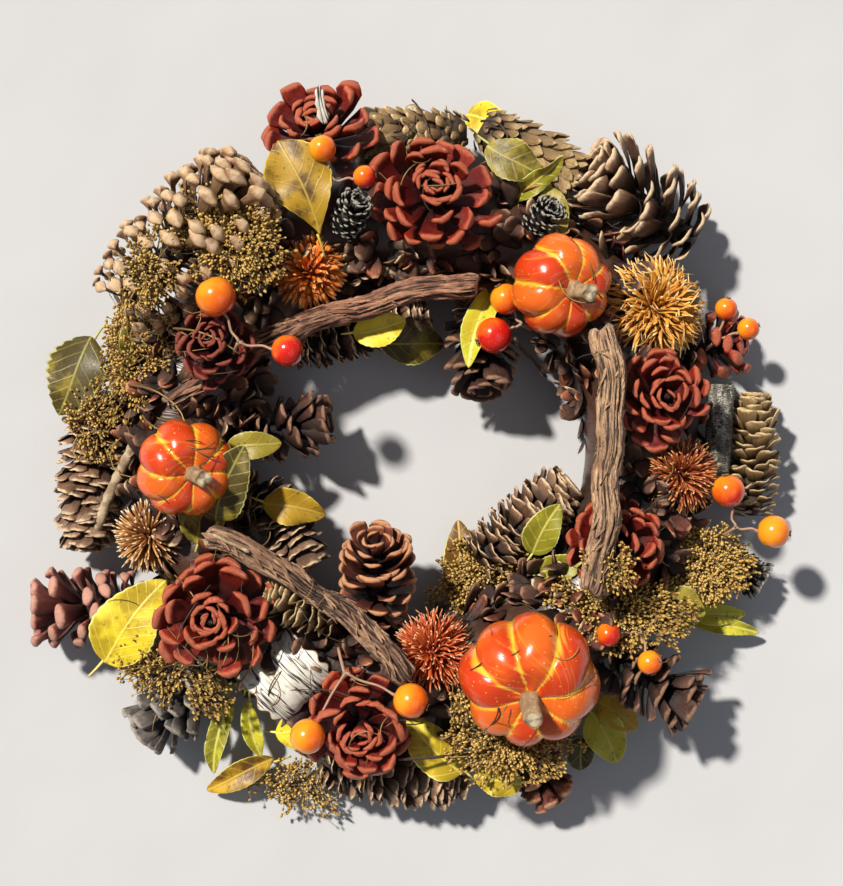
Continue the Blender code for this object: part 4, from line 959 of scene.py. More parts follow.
def florets(spot, look, seed):
    # Florets from a small seat to points spread evenly over a flattened dome, each a bent, tapering strip
    rng = np.random.default_rng(seed)
    depth, radius = spot["size"][0], spot["size"][1:].mean() / 2
    count = look["count"]
    share = (np.arange(count) + 0.5) / count
    polar = np.arccos(1 - share * (1 - np.cos(np.radians(look["dome"]))))
    polar = polar + rng.normal(0, 0.05, count)
    turn = np.arange(count) * goldenTurn + rng.normal(0, 0.06, count)
    reach = look["reach"] + rng.normal(0, 0.08, count)
    out = np.stack([np.zeros(count), np.cos(turn), np.sin(turn)], -1)
    root = np.stack([np.full(count, -depth * 0.40), 0 * turn, 0 * turn], -1)
    root = root + out * (radius * 0.16 * np.sin(polar))[:, None]
    tip = out * (radius * np.sin(polar) * reach)[:, None]
    tip[:, 0] = -depth / 2 + depth * np.maximum(np.cos(polar), -0.05) * reach
    u = np.linspace(0, 1, 7)[None, :, None]
    bow = np.array([1.0, 0, 0]) * radius * look["droop"] * np.sin(polar)[:, None]
    elbow = (root + (tip - root) * 0.55 + bow)[:, None]
    paths = (1 - u) ** 2 * root[:, None] + 2 * u * (1 - u) * elbow + u**2 * tip[:, None]
    hook = np.clip(u - 0.7, 0, 1) ** 2 * 11
    side = np.stack([np.zeros(count), -np.sin(turn), np.cos(turn)], -1)[:, None]
    lean = rng.normal(0, 1, (count, 1, 1))
    paths = paths + hook * look["curl"] * radius * 0.35 * (np.array([1.0, 0, 0]) * 0.6 + side * lean)
    paths = paths + side * np.sin(u * 5 + rng.uniform(0, 6, (count, 1, 1))) * u * look["wiggle"] * mm
    tangents = unit(np.gradient(paths, axis=1))
    across = unit(np.cross(np.broadcast_to(out[:, None], paths.shape) + (1e-3, 0, 0), tangents))
    across = np.where(np.isfinite(across), across, side)
    above = np.cross(tangents, across)
    wide = look["wide"] * mm * np.array([.5, .8, 1, 1, .95, .8, .35]) * (1 + rng.normal(0, .15, (count, 1)))
    part = loft(paths, across, above, wide, wide * look["deep"] / look["wide"], u[..., 0], rng.random(count),
                np.clip((u[..., 0] - 0.72) / 0.28, 0, 1), 6)
    thick = radius * 0.34 * np.array([.5, .8, 1, 1, .95, .8, .5, .1])
    return inWorld(spot, part, shaft(np.linspace(-0.5, 0.05, 8) * depth, thick, 16))


for seed, (node, look) in enumerate(flowers.items()):
    spot = measure(node, look["heading"], look["tilt"])
    addPiece(node + "_florets", florets(spot, look, 300 + seed), look["finish"], replaces=[node])
print("dried flowers made")


# Bark sticks, birch log and bark
# heading, radius and bow in mm as in the CAD, finish, how ragged the bark is, loose strips
sticks = {
    "bark_stick_upper_left": dict(heading=21, radius=5.0, bow=11, finish="bark_purple", ragged=.36,
                                  strips=60),
    "bark_stick_right": dict(heading=-93, radius=5.5, bow=5, finish="bark_tan", ragged=.36, strips=60),
    "bark_stick_lower_left": dict(heading=-35, radius=5.0, bow=7, finish="bark_umber", ragged=.38, strips=80),
}


def stickPath(length, bow, share, seed):
    # Bowed to the left by 1 - s^2, with a small uneven wander
    s = share * 2 - 1
    wander = 0.0009 * (np.sin(share * 11 + seed) + 0.6 * np.sin(share * 23 + 2 * seed))
    return np.stack([s * length / 2, bow * (1 - s**2) - bow / 2 + wander, 0.5 * wander], -1)


def barkStick(spot, look, seed):
    # Round section whose radius is furrowed by sharp ridged waves that run mostly along the stick
    length = spot["size"][0]
    radius, bow = look["radius"] * mm, look["bow"] * mm
    rings, sides = 300, 56
    share = np.linspace(0, 1, rings)
    path = stickPath(length, bow, share, seed)
    turn = fullTurn(sides)[None]
    s = share[:, None] * length / (9 * mm)
    ridged = 1 - np.abs(ripples(s * 0.35, turn * 3, seed, 9)) * 1.1
    fine = 1 - np.abs(ripples(s * 1.1, turn * 7, seed + 5, 9)) * 1.2
    knots = 0.10 * np.sin(share * 17 + seed)[:, None] * np.sin(turn + share[:, None] * 5)
    relief = np.clip(0.5 * ridged + 0.5 * fine, -0.6, 1)
    taper = np.interp(share, (0, .004, .02, .98, .996, 1), (.55, .86, 1, 1, .86, .55))[:, None]
    scale = (1 + look["ragged"] * (relief - 0.45) + knots) * taper
    across, above = pathFrames(path[None])
    out = radius * scale
    points = path[:, None] + across[0][:, None] * (out * np.cos(turn))[..., None] + \
        above[0][:, None] * (out * np.sin(turn))[..., None]
    ragged = 1.6 * mm * ripples(turn * 3, turn * 0, seed + 3, 6)
    ends = np.interp(share, (0, .02, .98, 1), (1, 0, 0, 1))[:, None]
    points[..., 0] += ragged * ends * np.sign(share - 0.5)[:, None]
    wood = np.maximum(share < 0.004, share > 0.996)[:, None] * 1.0
    marks = np.stack([wood + 0 * turn, 0.5 + 0.3 * ripples(s * 0.2, turn, seed + 8, 4),
                      np.clip(relief * 0.6 + 0.3, 0, 1)], -1)
    lays = np.stack([share[:, None] * length + 0 * turn, radius * turn + 0 * s, 0 * out], -1)
    skin = gridPart(points, lattice(1, rings, sides), marks, lays)
    # Strips of bark that have lifted at one end
    rng = np.random.default_rng(seed)
    count = look["strips"]
    begin, reach = rng.uniform(.03, .9, count), rng.uniform(.03, .09, count)
    u = np.linspace(0, 1, 7)
    at = np.clip(begin[:, None] + reach[:, None] * u, 0, 1)
    spine = stickPath(length, bow, at, seed)
    way = rng.uniform(0, 2 * np.pi, count)[:, None] + 0.5 * u
    lifted = radius * (1.02 + 0.16 * u**2 * rng.uniform(.3, 1.6, (count, 1)))
    spine = spine + np.stack([0 * way, np.cos(way) * lifted, np.sin(way) * lifted], -1)
    around = np.stack([0 * way, -np.sin(way), np.cos(way)], -1)
    off = np.stack([0 * way, np.cos(way), np.sin(way)], -1)
    strips = loft(spine, around, off,
                  rng.uniform(.4, 1.0, (count, 1)) * mm * np.array([.4, .9, 1, 1, .8, .6, .2]),
                  0.22 * mm, np.zeros((1, 7)), rng.random(count), 0.8, 6)
    return inWorld(spot, skin, strips)


for seed, (node, look) in enumerate(sticks.items()):
    spot = measure(node, look["heading"])
    addPiece(node + "_bark", barkStick(spot, look, 400 + seed), look["finish"], replaces=[node])


def birchLog(spot, seed):
    # A round log with plates of bark, cut square, its end faces domed by a hair
    length, radius = spot["size"][0], spot["size"][1:].mean() / 2
    rings, sides = 90, 72
    share = np.linspace(0, 1, rings)[:, None]
    turn = fullTurn(sides)[None]
    plates = np.clip(ripples(share * 14, turn * 2, seed, 9) * 1.6, -1, 1)
    closing = np.interp(share, (0, .012, .03, .05, .95, .97, .988, 1), (.05, .80, .97, 1, 1, .97, .80, .05))
    out = radius * (0.96 + 0.05 * plates) * closing
    x = (np.interp(share, (0, .012, .03, .97, .988, 1), (.0, .002, .01, .99, .998, 1.0)) - 0.5) * length
    points = np.stack([x + 0 * turn, out * np.cos(turn), out * np.sin(turn)], -1)
    cut = (np.abs(share - 0.5) > 0.486) * 1.0
    marks = np.stack([share + 0 * turn, 0.5 + 0.4 * plates, cut + 0 * turn], -1)
    lays = np.stack([radius * turn + 0 * share, x + 0 * turn, 0 * out], -1)
    return gridPart(toWorld(points.reshape(-1, 3), spot), lattice(1, rings, sides), marks, lays)


spot = measure("birch_log", 86)
addPiece("birch_log_bark", [birchLog(spot, 11)], "birch_grey", replaces=["birch_log"], crease=60)


def curledSheet(spot, seed, inset=0.0, shrink=1.0):
    # Bark bent to an arc about its own axis, hollow side down, torn at its four edges. The grid is one
    # tube: over the outer side and back under the inner one
    look = dict(radius=17 * mm, thick=1.0 * mm, half=62, length=spot["size"][0] * shrink)
    rings, cols = 40, 60
    share = np.linspace(-1, 1, rings)[:, None]
    bend = np.radians(look["half"]) * shrink * np.linspace(-1, 1, cols)[None]
    tear = 1 + 0.09 * ripples(share * 9, 0 * share, seed, 9)
    bend = bend * tear
    ragged = 1 + 0.08 * ripples(bend * 9, 0 * bend, seed + 1, 9)
    x = share * look["length"] / 2 * ragged
    swell = 0.5 * mm * ripples(share * 3, bend * 2, seed + 2, 7)
    edge = np.maximum(np.abs(share) ** 14 + 0 * bend,
                      np.abs(np.linspace(-1, 1, cols))[None] ** 14 + 0 * share)
    r = look["radius"] + swell - inset
    outer = np.stack([x, r * np.sin(bend), r * np.cos(bend) - 0.75 * look["radius"]], -1)
    r = r - look["thick"] * (1 - 0.6 * edge)
    inner = np.stack([x, r * np.sin(bend), r * np.cos(bend) - 0.75 * look["radius"]], -1)
    points = np.concatenate([outer, inner[:, ::-1]], axis=1)
    sides = 2 * cols
    rim = np.concatenate([edge, np.ones_like(edge)], axis=1)
    spread = look["radius"] * np.concatenate([bend + 0 * share, bend[:, ::-1] + 0 * share], axis=1)
    marks = np.stack([np.broadcast_to(share, rim.shape), 0.5 + 0 * rim, rim], -1)
    lays = np.stack([spread, np.concatenate([x, x[:, ::-1]], 1), 0 * rim], -1)
    quads = lattice(1, rings, sides)[0]
    j = np.arange(cols - 1)
    ends = np.stack([j, j + 1, sides - 2 - j, sides - 1 - j], -1)
    far = (rings - 1) * sides
    zero = np.array([0.0, 0.0, -spot["middle"][2] + spot["high"][2] - 0.25 * look["radius"]])
    faces = [quads, ends[:, ::-1], ends + far]
    return gridPart(toWorld(points.reshape(-1, 3) + zero, spot), faces, marks, lays)


spot = measure("birch_bark_curl", 45)
addPiece("birch_bark_curl_sheet", [curledSheet(spot, 21), curledSheet(spot, 24, 1.6 * mm, 0.86)],
         "birch_white", replaces=["birch_bark_curl"], crease=50)
print("sticks and birch made")


def cadTop():
    # All CAD nodes as one tree, for finding the top of the cover under a point
    points, faces, offset = [], [], 0
    for node in nodes.values():
        corners = np.empty(len(node.data.vertices) * 3, np.float32)
        node.data.vertices.foreach_get("co", corners)
        node.data.calc_loop_triangles()
        tris = np.empty(len(node.data.loop_triangles) * 3, np.int32)
        node.data.loop_triangles.foreach_get("vertices", tris)
        points.append(corners.reshape(-1, 3))
        faces.append(tris.reshape(-1, 3) + offset)
        offset += len(points[-1])
    return BVHTree.FromPolygons(np.vstack(points).tolist(), np.vstack(faces).tolist())


coverTree = cadTop()
aboveAll = 200 * mm  # a height well over the whole cover


def topAt(x, y, floor=8 * mm):
    # Height of the cover under a spot, and at least `floor`
    hit = coverTree.ray_cast(Vector((x, y, aboveAll)), Vector((0, 0, -1)))[0]
    return max(hit.z if hit else 0.0, floor)


def ringPlace(angle, offset):
    # x and y of a spot at an angle round the ring, `offset` mm outside its middle line
    out = ring["middle"] + offset * mm
    return out * np.cos(np.radians(angle)), out * np.sin(np.radians(angle))


# Leaves
def leafBlade(base, axes, length, width, seed, fold=0.25, wave=0.10, rise=0.10, curl=0.0, twist=0.0,
              teeth=0.05, full=0.85):
    # Sections along a midrib that arches by sin(pi s), curls by s^3 and sways; the sides fold up from the
    # midrib and wave, and the margin is toothed
    rng = np.random.default_rng(seed)
    rings, sides = 40, 22
    s = np.linspace(0.0, 1.0, rings)
    half = width / 2 * np.sin(np.pi * s**full) ** (0.72 + 0.5 * max(0.0, full - 1) * (1 - s))
    half = half * (1 + teeth * np.abs(np.sin(s * 34 + seed)) + 0.05 * np.sin(s * 7 + seed)) + 0.35 * mm
    half[-1] = 0.25 * mm
    path = np.stack([s * length, 0.05 * length * np.sin(s * 3 + seed), rise * length * np.sin(np.pi * s)
                     + curl * length * s**3], -1)
    across, above = pathFrames(path[None])
    roll = twist * (s - 0.3)[None, :, None]
    across, above = across * np.cos(roll) + above * np.sin(roll), above * np.cos(roll) - across * np.sin(roll)
    phase = rng.uniform(0, 6, 2)

    def shape(away, half):
        side = away / half
        left = np.sin(s * 13 + phase[0])[None, :, None] * (side > 0)
        right = np.sin(s * 11 + phase[1])[None, :, None] * (side < 0)
        ruffle = left + right
        return fold * np.abs(away) * (1 - 0.35 * np.abs(side)) + wave * half * ruffle * side**2

    rim = np.zeros((1, rings))
    blade = loft(path[None], across, above, half[None], np.full((1, rings), 0.32 * mm), s[None],
                 rng.random(), rim, sides, shape, lengths=(s * length)[None])
    cosine = np.abs(np.cos(fullTurn(sides)))
    blade["marks"][:, 2] = np.maximum(np.tile(cosine, rings), np.repeat(s > 0.985, sides) * 1.0)
    u = np.linspace(0, 1, 8)[:, None]
    stalk = np.hstack([-0.24 * length * u + 0.5 * mm, 0.02 * length * u**2, -0.10 * length * u**2])
    petiole = stems(stalk[None], np.linspace(0.65, 0.4, 8)[None] * mm, 0.6, 6, along=np.full((1, 8), 0.5),
                    rim=1.0)
    petiole["lays"][:, 1] = 0
    for part in (blade, petiole):
        part["points"] = part["points"] @ axes + base
    return [blade, petiole]


# CAD sprays: heading and leaves (length, width, turn) as in the CAD, whether the stalk is at the other
# end, finish, then how each is bent
sprays = {
    "leaf_spray_top_left": (-68, [(44, 27, 0)], True, "leaf_bronze",
                            dict(fold=.16, wave=.20, curl=.04, full=1.35)),
    "leaf_spray_top_right": (-35, [(28, 17, 0), (26, 12, -50)], False, "leaf_olive",
                             dict(fold=.35, wave=.12, curl=.10)),
    "leaf_spray_left": (62, [(38, 22, 0)], True, "leaf_olive", dict(fold=.12, wave=.10, teeth=.20)),
    "leaf_spray_low_left": (50, [(46, 27, 0)], False, "leaf_yellow",
                            dict(fold=.10, wave=.08, curl=.03, full=.72)),
    "leaf_spray_inner_left": (72, [(38, 20, 0), (24, 12, -60)], False, "leaf_olive",
                              dict(fold=.30, wave=.10)),
    "leaf_spray_bottom": (-40, [(34, 20, 0), (22, 14, 35)], True, "leaf_yellow",
                          dict(fold=.18, wave=.18, curl=.06)),
}
heel = 0.0376  # the CAD blade begins this share of its length past its foot
for seed, (node, (heading, leaves, flipped, finish, bent)) in enumerate(sprays.items()):
    spot = measure(node, heading)
    parts = []
    width = leaves[0][1] * mm
    downward = len(leaves) > 1 and leaves[1][2] > 0
    sideways = spot["low"][1] + width / 2 if downward else spot["high"][1] - width / 2
    start = np.array([spot["low"][0] - heel * leaves[0][0] * mm, sideways, spot["low"][2] + 0.4 * mm])
    start[2] += 2.5 * mm if finish == "leaf_bronze" else 0  # this one lies over the petals of a cone
    for k, (length, width, turn) in enumerate(leaves):
        direction = np.array([np.cos(np.radians(turn)), np.sin(np.radians(turn)), 0.0])
        foot, way = (start + direction * length * mm, 180) if flipped else (start, 0)
        parts += leafBlade(foot @ spot["axes"], frameAxes(heading + turn + way), length * mm, width * mm,
                           500 + 7 * seed + k, **bent)
        start = start + direction * (length + 5) * mm
    addPiece(node + "_blades", parts, finish, replaces=[node])

# Single leaves of the trim: ring angle, offset, heading, length and width in mm, lift above the cover,
# finish, bends
singleLeaves = {
    "leaf_crown": (81, 52, -24, 27, 15, 2, "leaf_yellow", dict(fold=.5, wave=.06, twist=.5)),
    "leaf_curled_top": (67, 16, 48, 30, 9, 4, "leaf_lime", dict(fold=.9, wave=.25, twist=1.2, curl=.2)),
    "leaf_hanging_top": (64, -24, -105, 40, 12, 4, "leaf_lime", dict(fold=.8, wave=.18, twist=.6)),
    "leaf_inner_bright": (117, -45, 12, 24, 15, 10, "leaf_yellow", dict(fold=.5, wave=.10, curl=.1)),
    "leaf_inner_shaded": (106, -52, -6, 30, 18, 2, "leaf_olive", dict(fold=.2, wave=.10)),
    "leaf_inner_low": (-161, -34, -14, 28, 15, 2, "leaf_bronze", dict(fold=.5, wave=.20, twist=.5)),
    "leaf_beside_pumpkin": (-160, -14, 70, 38, 21, 9, "leaf_olive", dict(fold=.5, wave=.10, twist=.3)),
    "leaf_behind_curl": (-125, 31, 78, 20, 12, 4, "leaf_lime", dict(fold=.9, wave=.12, twist=.4)),
    "leaf_narrow_low": (-127, 38, -98, 36, 9, 5, "leaf_lime", dict(fold=1.1, wave=.15, twist=.5)),
    "leaf_narrow_second": (-123, 34, -80, 26, 8, 5, "leaf_lime", dict(fold=1.1, wave=.15, twist=-.5)),
    "leaf_folded_bottom": (-114, 54, 200, 34, 11, 2, "leaf_ochre", dict(fold=.8, wave=.05, curl=-.05)),
    "leaf_bright_bottom": (-116, 41, 2, 22, 15, 3, "leaf_yellow", dict(fold=.2, wave=.10)),
    "leaf_green_right": (-56, 42, -62, 26, 18, 3, "leaf_lime", dict(fold=.35, wave=.10, curl=.08)),
    "leaf_green_right_second": (-54, 40, -30, 22, 14, 4, "leaf_ochre", dict(fold=.35, wave=.10, curl=.08)),
    "leaf_small_low": (-60, 50, -85, 15, 12, 1, "leaf_olive", dict(fold=.3, wave=.10)),
    "leaf_round_right": (-31, 24, -18, 22, 19, 4, "leaf_olive", dict(fold=.3, wave=.08)),
    "leaf_long_right": (-30, 42, -8, 27, 9, 3, "leaf_lime", dict(fold=.7, wave=.05)),
    "leaf_long_right_second": (-31, 46, -16, 32, 7, 2, "leaf_lime", dict(fold=.9, wave=.05)),
    "leaf_inner_right": (-41, -33, 62, 27, 15, 4, "leaf_lime", dict(fold=.5, wave=.10, curl=.1)),
    "leaf_inner_right_second": (-44, -24, 20, 21, 12, 5, "leaf_lime", dict(fold=.7, wave=.10)),
    "leaf_inner_moss": (-72, -30, 96, 38, 15, 2, "leaf_ochre", dict(fold=.3, wave=.14)),
    "leaf_left_upright": (163, 28, 84, 27, 11, 3, "leaf_olive", dict(fold=.6, wave=.16, twist=.4)),
}
for seed, (name, figures) in enumerate(singleLeaves.items()):
    angle, offset, heading, length, width, lift, finish, bent = figures
    x, y = ringPlace(angle, offset)
    way = frameAxes(heading)[0] * length * mm
    probe = [topAt(x + way[0] * s, y + way[1] * s) for s in (0.1, 0.4, 0.7)]
    base = np.array([x, y, probe[0] + (lift - 1) * mm])
    slope = np.clip(np.degrees(np.arctan2(max(probe[1:]) - probe[0], 0.5 * length * mm)), -18, 22)
    addPiece(name, leafBlade(base, frameAxes(heading, slope), length * mm, width * mm, 560 + seed, **bent),
             finish)
print("leaves made:", len(sprays) + len(singleLeaves))


# Broom bloom
def bloomHead(middle, axes, size, count, seed, loose=0.0, down=0.35):
    # Clusters of tiny buds in the upper shell of an oval, each cluster on a thin stem from the middle line
    rng = np.random.default_rng(seed)
    clusters = max(6, count // 8)
    spread = unit(rng.normal(0, 1, (clusters, 3)))
    spread[:, 2] = np.abs(spread[:, 2]) * (1 - down) - down * 0.3
    spread = spread * rng.uniform(0.45, 1.0 + loose, (clusters, 1)) * np.array(size) / 2
    owner = rng.integers(0, clusters, count)
    heads = spread[owner] + rng.normal(0, 1, (count, 3)) * (1.7 + 1.2 * loose) * mm
    heads = np.clip(heads, -np.array(size) * 0.56, np.array(size) * 0.56)
    way = unit(heads - np.array([0, 0, -size[2]]) + rng.normal(0, 3 * mm, (count, 3)))
    radius = rng.uniform(0.42, 0.80, count) * mm
    u = np.array([0.0, 0.33, 0.72, 1.0])
    paths = heads[:, None] + way[:, None] * (u[None, :, None] - 0.5) * 2.9 * radius[:, None, None]
    bulge = np.array([.45, 1.0, .85, .30]) * radius[:, None]
    across, above = pathFrames(paths)
    buds = loft(paths, across, above, bulge, bulge, u[None], rng.random(count),
                np.clip(u[None] * 1.2 - 0.4, 0, 1), 5)
    s = np.linspace(0, 1, 6)[None, :, None]
    root = np.stack([spread[:, 0] * 0.35, spread[:, 1] * 0.15, np.full(clusters, -size[2] * 0.42)], -1)
    stemPaths = root[:, None] * (1 - s) + spread[:, None] * s
    stemPaths = stemPaths + np.sin(s * 3.1) * rng.normal(0, 1.2 * mm, (clusters, 1, 3))
    twigs = stems(stemPaths, np.linspace(0.42, 0.20, 6)[None] * mm, rng.random(clusters), 5)
    short = heads - way * radius[:, None]
    t = np.linspace(0, 1, 3)[None, :, None]
    stalkPaths = spread[owner][:, None] * (1 - t) + short[:, None] * t
    stalks = stems(stalkPaths, np.full((1, 3), 0.16 * mm), rng.random(count), 4)
    for part in (buds, twigs, stalks):
        part["points"] = part["points"] @ axes + middle
    return buds, [twigs, stalks]


def addBloom(name, buds, twigs, replaces=()):
    addPiece(name + "_buds", [buds], "bloom_buds", replaces=replaces)
    addPiece(name + "_stems", twigs, "bloom_stems")


blooms = {"broom_bloom_left": (75, 1500), "broom_bloom_right": (20, 1500)}
for seed, (node, (heading, count)) in enumerate(blooms.items()):
    spot = measure(node, heading)
    size = spot["size"] * np.array([1.0, 1.0, 1.1])
    buds, twigs = bloomHead(spot["middle"] @ spot["axes"], spot["axes"], size, count, 600 + seed)
    addBloom(node, buds, twigs, [node])

# Trim: ring angle, offset, heading, then length, width, height in mm, buds, looseness, lift
bloomTrim = {
    "bloom_upper_left": (131, 14, -30, 50, 40, 16, 1500, .15, 5),
    "bloom_left_upper": (146, 30, 70, 34, 20, 12, 420, .30, 3),
    "bloom_inner_low": (-61, -35, 20, 52, 40, 16, 1600, .10, 5),
    "bloom_left_low": (163, 24, 80, 46, 28, 12, 700, .30, 3),
    "bloom_right_low": (-38, 12, -8, 60, 34, 15, 1500, .20, 4),
    "bloom_bottom": (-71, 34, 12, 54, 30, 13, 1100, .25, 4),
    "bloom_low_left": (-137, 42, -28, 52, 26, 11, 560, .45, 4),
    "bloom_outer_low_left": (-141, 56, 20, 22, 22, 12, 420, .15, 0),
    "bloom_hanging": (-108, 60, 180, 44, 24, 12, 500, .45, -3),
    "bloom_on_pumpkin": (-78, 8, 90, 28, 12, 7, 200, .30, 2),
    "bloom_far_left": (175, 40, 100, 32, 18, 9, 300, .40, 2),
    "bloom_right_outer": (-20, 42, -40, 32, 26, 14, 700, .20, 3),
    "bloom_right_inner": (-30, -6, -40, 26, 18, 9, 260, .30, 2),
}
for seed, (name, figures) in enumerate(bloomTrim.items()):
    angle, offset, heading, long, wide, high, count, loose, lift = figures
    x, y = ringPlace(angle, offset)
    reach = ringPlace(angle, offset + 8)[0] - x, ringPlace(angle, offset + 8)[1] - y
    under = np.mean([topAt(x, y), topAt(x + reach[0], y + reach[1]), topAt(x - reach[0], y - reach[1])])
    middle = np.array([x, y, max(under + lift * mm, 0.6 * high * mm) + 0.15 * high * mm])
    buds, twigs = bloomHead(middle, frameAxes(heading), np.array([long, wide, high]) * mm, count,
                            620 + seed, loose)
    addBloom(name, buds, twigs)
print("broom bloom made:", len(blooms) + len(bloomTrim))


# Ring, tape and hanger
def ringBand(inner, outer, low, high, steps, relief):
    # A closed band: an arc of section angles on the outer radius and back on the inner one, carried round Z
    angles = np.radians(np.linspace(low, high, steps))
    section = np.concatenate([angles, angles[::-1]])
    radii = np.concatenate([np.full(steps, outer), np.full(steps, inner)])
    turn = fullTurn(ring["segments"])[:, None]
    bump = relief(turn, section[None]) * np.concatenate([np.ones(steps), np.zeros(steps)])[None]
    r = radii[None] + bump
    out = ring["middle"] + r * np.cos(section)
    z = ring["back"] + r * np.sin(section)
    return np.stack([out * np.cos(turn), out * np.sin(turn), z + 0 * turn], -1), turn, section


def closedBand(points):
    rings, sides = points.shape[:2]
    ringStart = np.arange(rings)[:, None] * sides
    following = (np.arange(rings)[:, None] + 1) % rings * sides
    side = np.arange(sides)[None]
    after = (side + 1) % sides
    return [np.stack([ringStart + side, ringStart + after, following + after, following + side],
                     -1).reshape(-1, 4)]


def tapeLaps(turn, section):
    # How many turns of tape have been laid at a spot of the ring
    return turn / (2 * np.pi) * ring["wraps"] + section / (2 * np.pi) * 1.4


def tapeWrap(turn, section):
    # Each turn of tape laps the last: a small step where the saw-tooth falls back
    return -0.35 * mm * (tapeLaps(turn, section) % 1)


tapeInside = ring["straw"] + ring["gap"]
points, turn, section = ringBand(tapeInside, tapeInside + ring["tape"], -ring["edge"], 180 + ring["edge"], 34,
                                 tapeWrap)
laps = tapeLaps(turn, section[None])
phase, wrapNumber = laps % 1, np.floor(laps)
marks = np.stack([phase, 0.5 + 0.4 * np.sin(wrapNumber * 2.7), phase], -1)
lays = np.stack([ring["straw"] * section[None] + 0 * turn, ring["middle"] * turn + 0 * section[None],
                 0 * phase], -1)
addPiece("ring_tape_wrap", [gridPart(points, closedBand(points), marks, lays)], "tape",
         replaces=["ring_tape"], crease=40)

# Straw: the same section closed by a flat back, its surface ribbed by stalks that run round the ring
back = (ring["straw"] ** 2 - ring["back"] ** 2) ** 0.5
arc = np.radians(np.linspace(-50.8, 230.8, 60))
flat = np.linspace(-1, 1, 40)[1:-1]
sectionOut = np.concatenate([ring["straw"] * np.cos(arc), back * flat])
sectionUp = np.concatenate([ring["straw"] * np.sin(arc), np.full(38, -ring["back"])])
turn = fullTurn(ring["segments"])[:, None]
number = np.arange(len(sectionOut))[None]
rib = 0.5 * mm * (ripples(turn * 6, number * 1.9, 31, 9) - 1.6) * 0.6
size = 1 + rib / ring["straw"]
out = ring["middle"] + sectionOut[None] * size
z = ring["back"] + np.maximum(sectionUp[None] * size, -ring["back"])
points = np.stack([out * np.cos(turn), out * np.sin(turn), z + 0 * turn], -1)
marks = np.stack([0.5 + 0 * out, 0.5 + 0.4 * np.sin(number * 3.7 + turn * 2), np.clip(1 + rib / mm, 0, 1)],
                 -1)
lays = np.stack([ring["middle"] * turn + 0 * number, number * 1.5 * mm + 0 * turn, 0 * out], -1)
addPiece("straw_ring_bundle", [gridPart(points, closedBand(points), marks, lays)], "straw",
         replaces=["straw_ring"])

# Loose straw stalks lying in the flat back
rng = np.random.default_rng(41)
count = 420
begin, reach = rng.uniform(0, 2 * np.pi, count), rng.uniform(.10, .34, count)
u = np.linspace(0, 1, 8)[None]
angle = begin[:, None] + reach[:, None] * u
offset = rng.uniform(-1, 1, count)[:, None] * back * 0.93 + rng.normal(0, 1.5 * mm, (count, 1)) * (u - 0.5)
offset = np.clip(offset, -back * 0.97, back * 0.97)
high = rng.uniform(0.75, 1.5, count)[:, None] * mm + 0 * u
paths = np.stack([(ring["middle"] + offset) * np.cos(angle), (ring["middle"] + offset) * np.sin(angle),
                  high], -1)
addPiece("straw_ring_stalks", [stems(paths, np.full((1, 8), 0.65 * mm), rng.random(count), 6, flat=0.8)],
         "straw_stalks")


def hangerLoop():
    # The loop's closed route as in the CAD: a straight bar, two small corners and a round end, drooped
    look = dict(wire=0.75 * mm, width=14 * mm, length=26 * mm, droop=13.5, corner=2.5 * mm)
    half, corner = look["width"] / 2, look["corner"]
    straight = look["length"] - half
    bar = np.stack([np.linspace(-half + corner, half - corner, 12), np.zeros(12)], -1)
    a = np.radians(np.linspace(-80, 0, 8))[:, None]
    first = np.hstack([half - corner + corner * np.cos(a), corner + corner * np.sin(a)])
    a = np.radians(np.linspace(0, 180, 40))[:, None]
    top = np.hstack([half * np.cos(a), straight + half * np.sin(a)])
    a = np.radians(np.linspace(180, 260, 8))[:, None]
    last = np.hstack([-half + corner + corner * np.cos(a), corner + corner * np.sin(a)])
    route = np.vstack([bar, first, top, last])
    path = np.column_stack([route, np.zeros(len(route))])
    tangents = unit(np.roll(path, -1, axis=0) - np.roll(path, 1, axis=0))
    across = np.cross((0.0, 0.0, 1.0), tangents)
    turn = fullTurn(14)
    points = path[:, None] + look["wire"] * (across[:, None] * np.cos(turn)[None, :, None]
                                             + np.array([0.0, 0, 1]) * np.sin(turn)[None, :, None])
    droop = np.radians(look["droop"])
    y, z = points[..., 1] * np.cos(droop), -points[..., 1] * np.sin(droop)
    lifted = points[..., 2]
    low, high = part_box("hanger_loop")
    world = np.stack([points[..., 0], y + lifted * np.sin(droop), z + lifted * np.cos(droop)], -1)
    lowest, highest = world.reshape(-1, 3).min(0), world.reshape(-1, 3).max(0)
    world = world + (np.array(low) + np.array(high)) / 2 - (lowest + highest) / 2
    return gridPart(world, closedBand(world), np.full(world.shape, 0.5), world)


addPiece("hanger_loop_wire", [hangerLoop()], "wire", replaces=["hanger_loop"], body="hanging_loop")
nodes["hanger_staple"].data.materials.clear()
nodes["hanger_staple"].data.materials.append(materials["wire"])
print("ring, tape and hanger made")


# Small trim: twigs, tendrils, small cones and a sliver of bark
def twigPart(start, end, radius, seed, lift=0.0, rough=0.08):
    # A straight twig with a small wander and uneven thickness
    share = np.linspace(0, 1, 24)
    path = np.asarray(start) + (np.asarray(end) - np.asarray(start)) * share[:, None]
    span = np.linalg.norm(np.asarray(end) - np.asarray(start))
    rng = np.random.default_rng(seed)
    sway = span * 0.012 * np.sin(share[:, None] * rng.uniform(4, 9, 3) + rng.uniform(0, 6, 3))
    path = path + sway + np.array([0, 0, 1.0]) * (lift * np.sin(np.pi * share))[:, None]
    thick = radius * (1 + rough * np.sin(share * 31 + seed) + rough * np.sin(share * 57))
    thick[[0, -1]] *= 0.6
    return stems(path[None], thick[None], 0.5, 12, along=0.6 + 0 * share[None],
                 rim=(share < .03) + (share > .97) + 0.0)


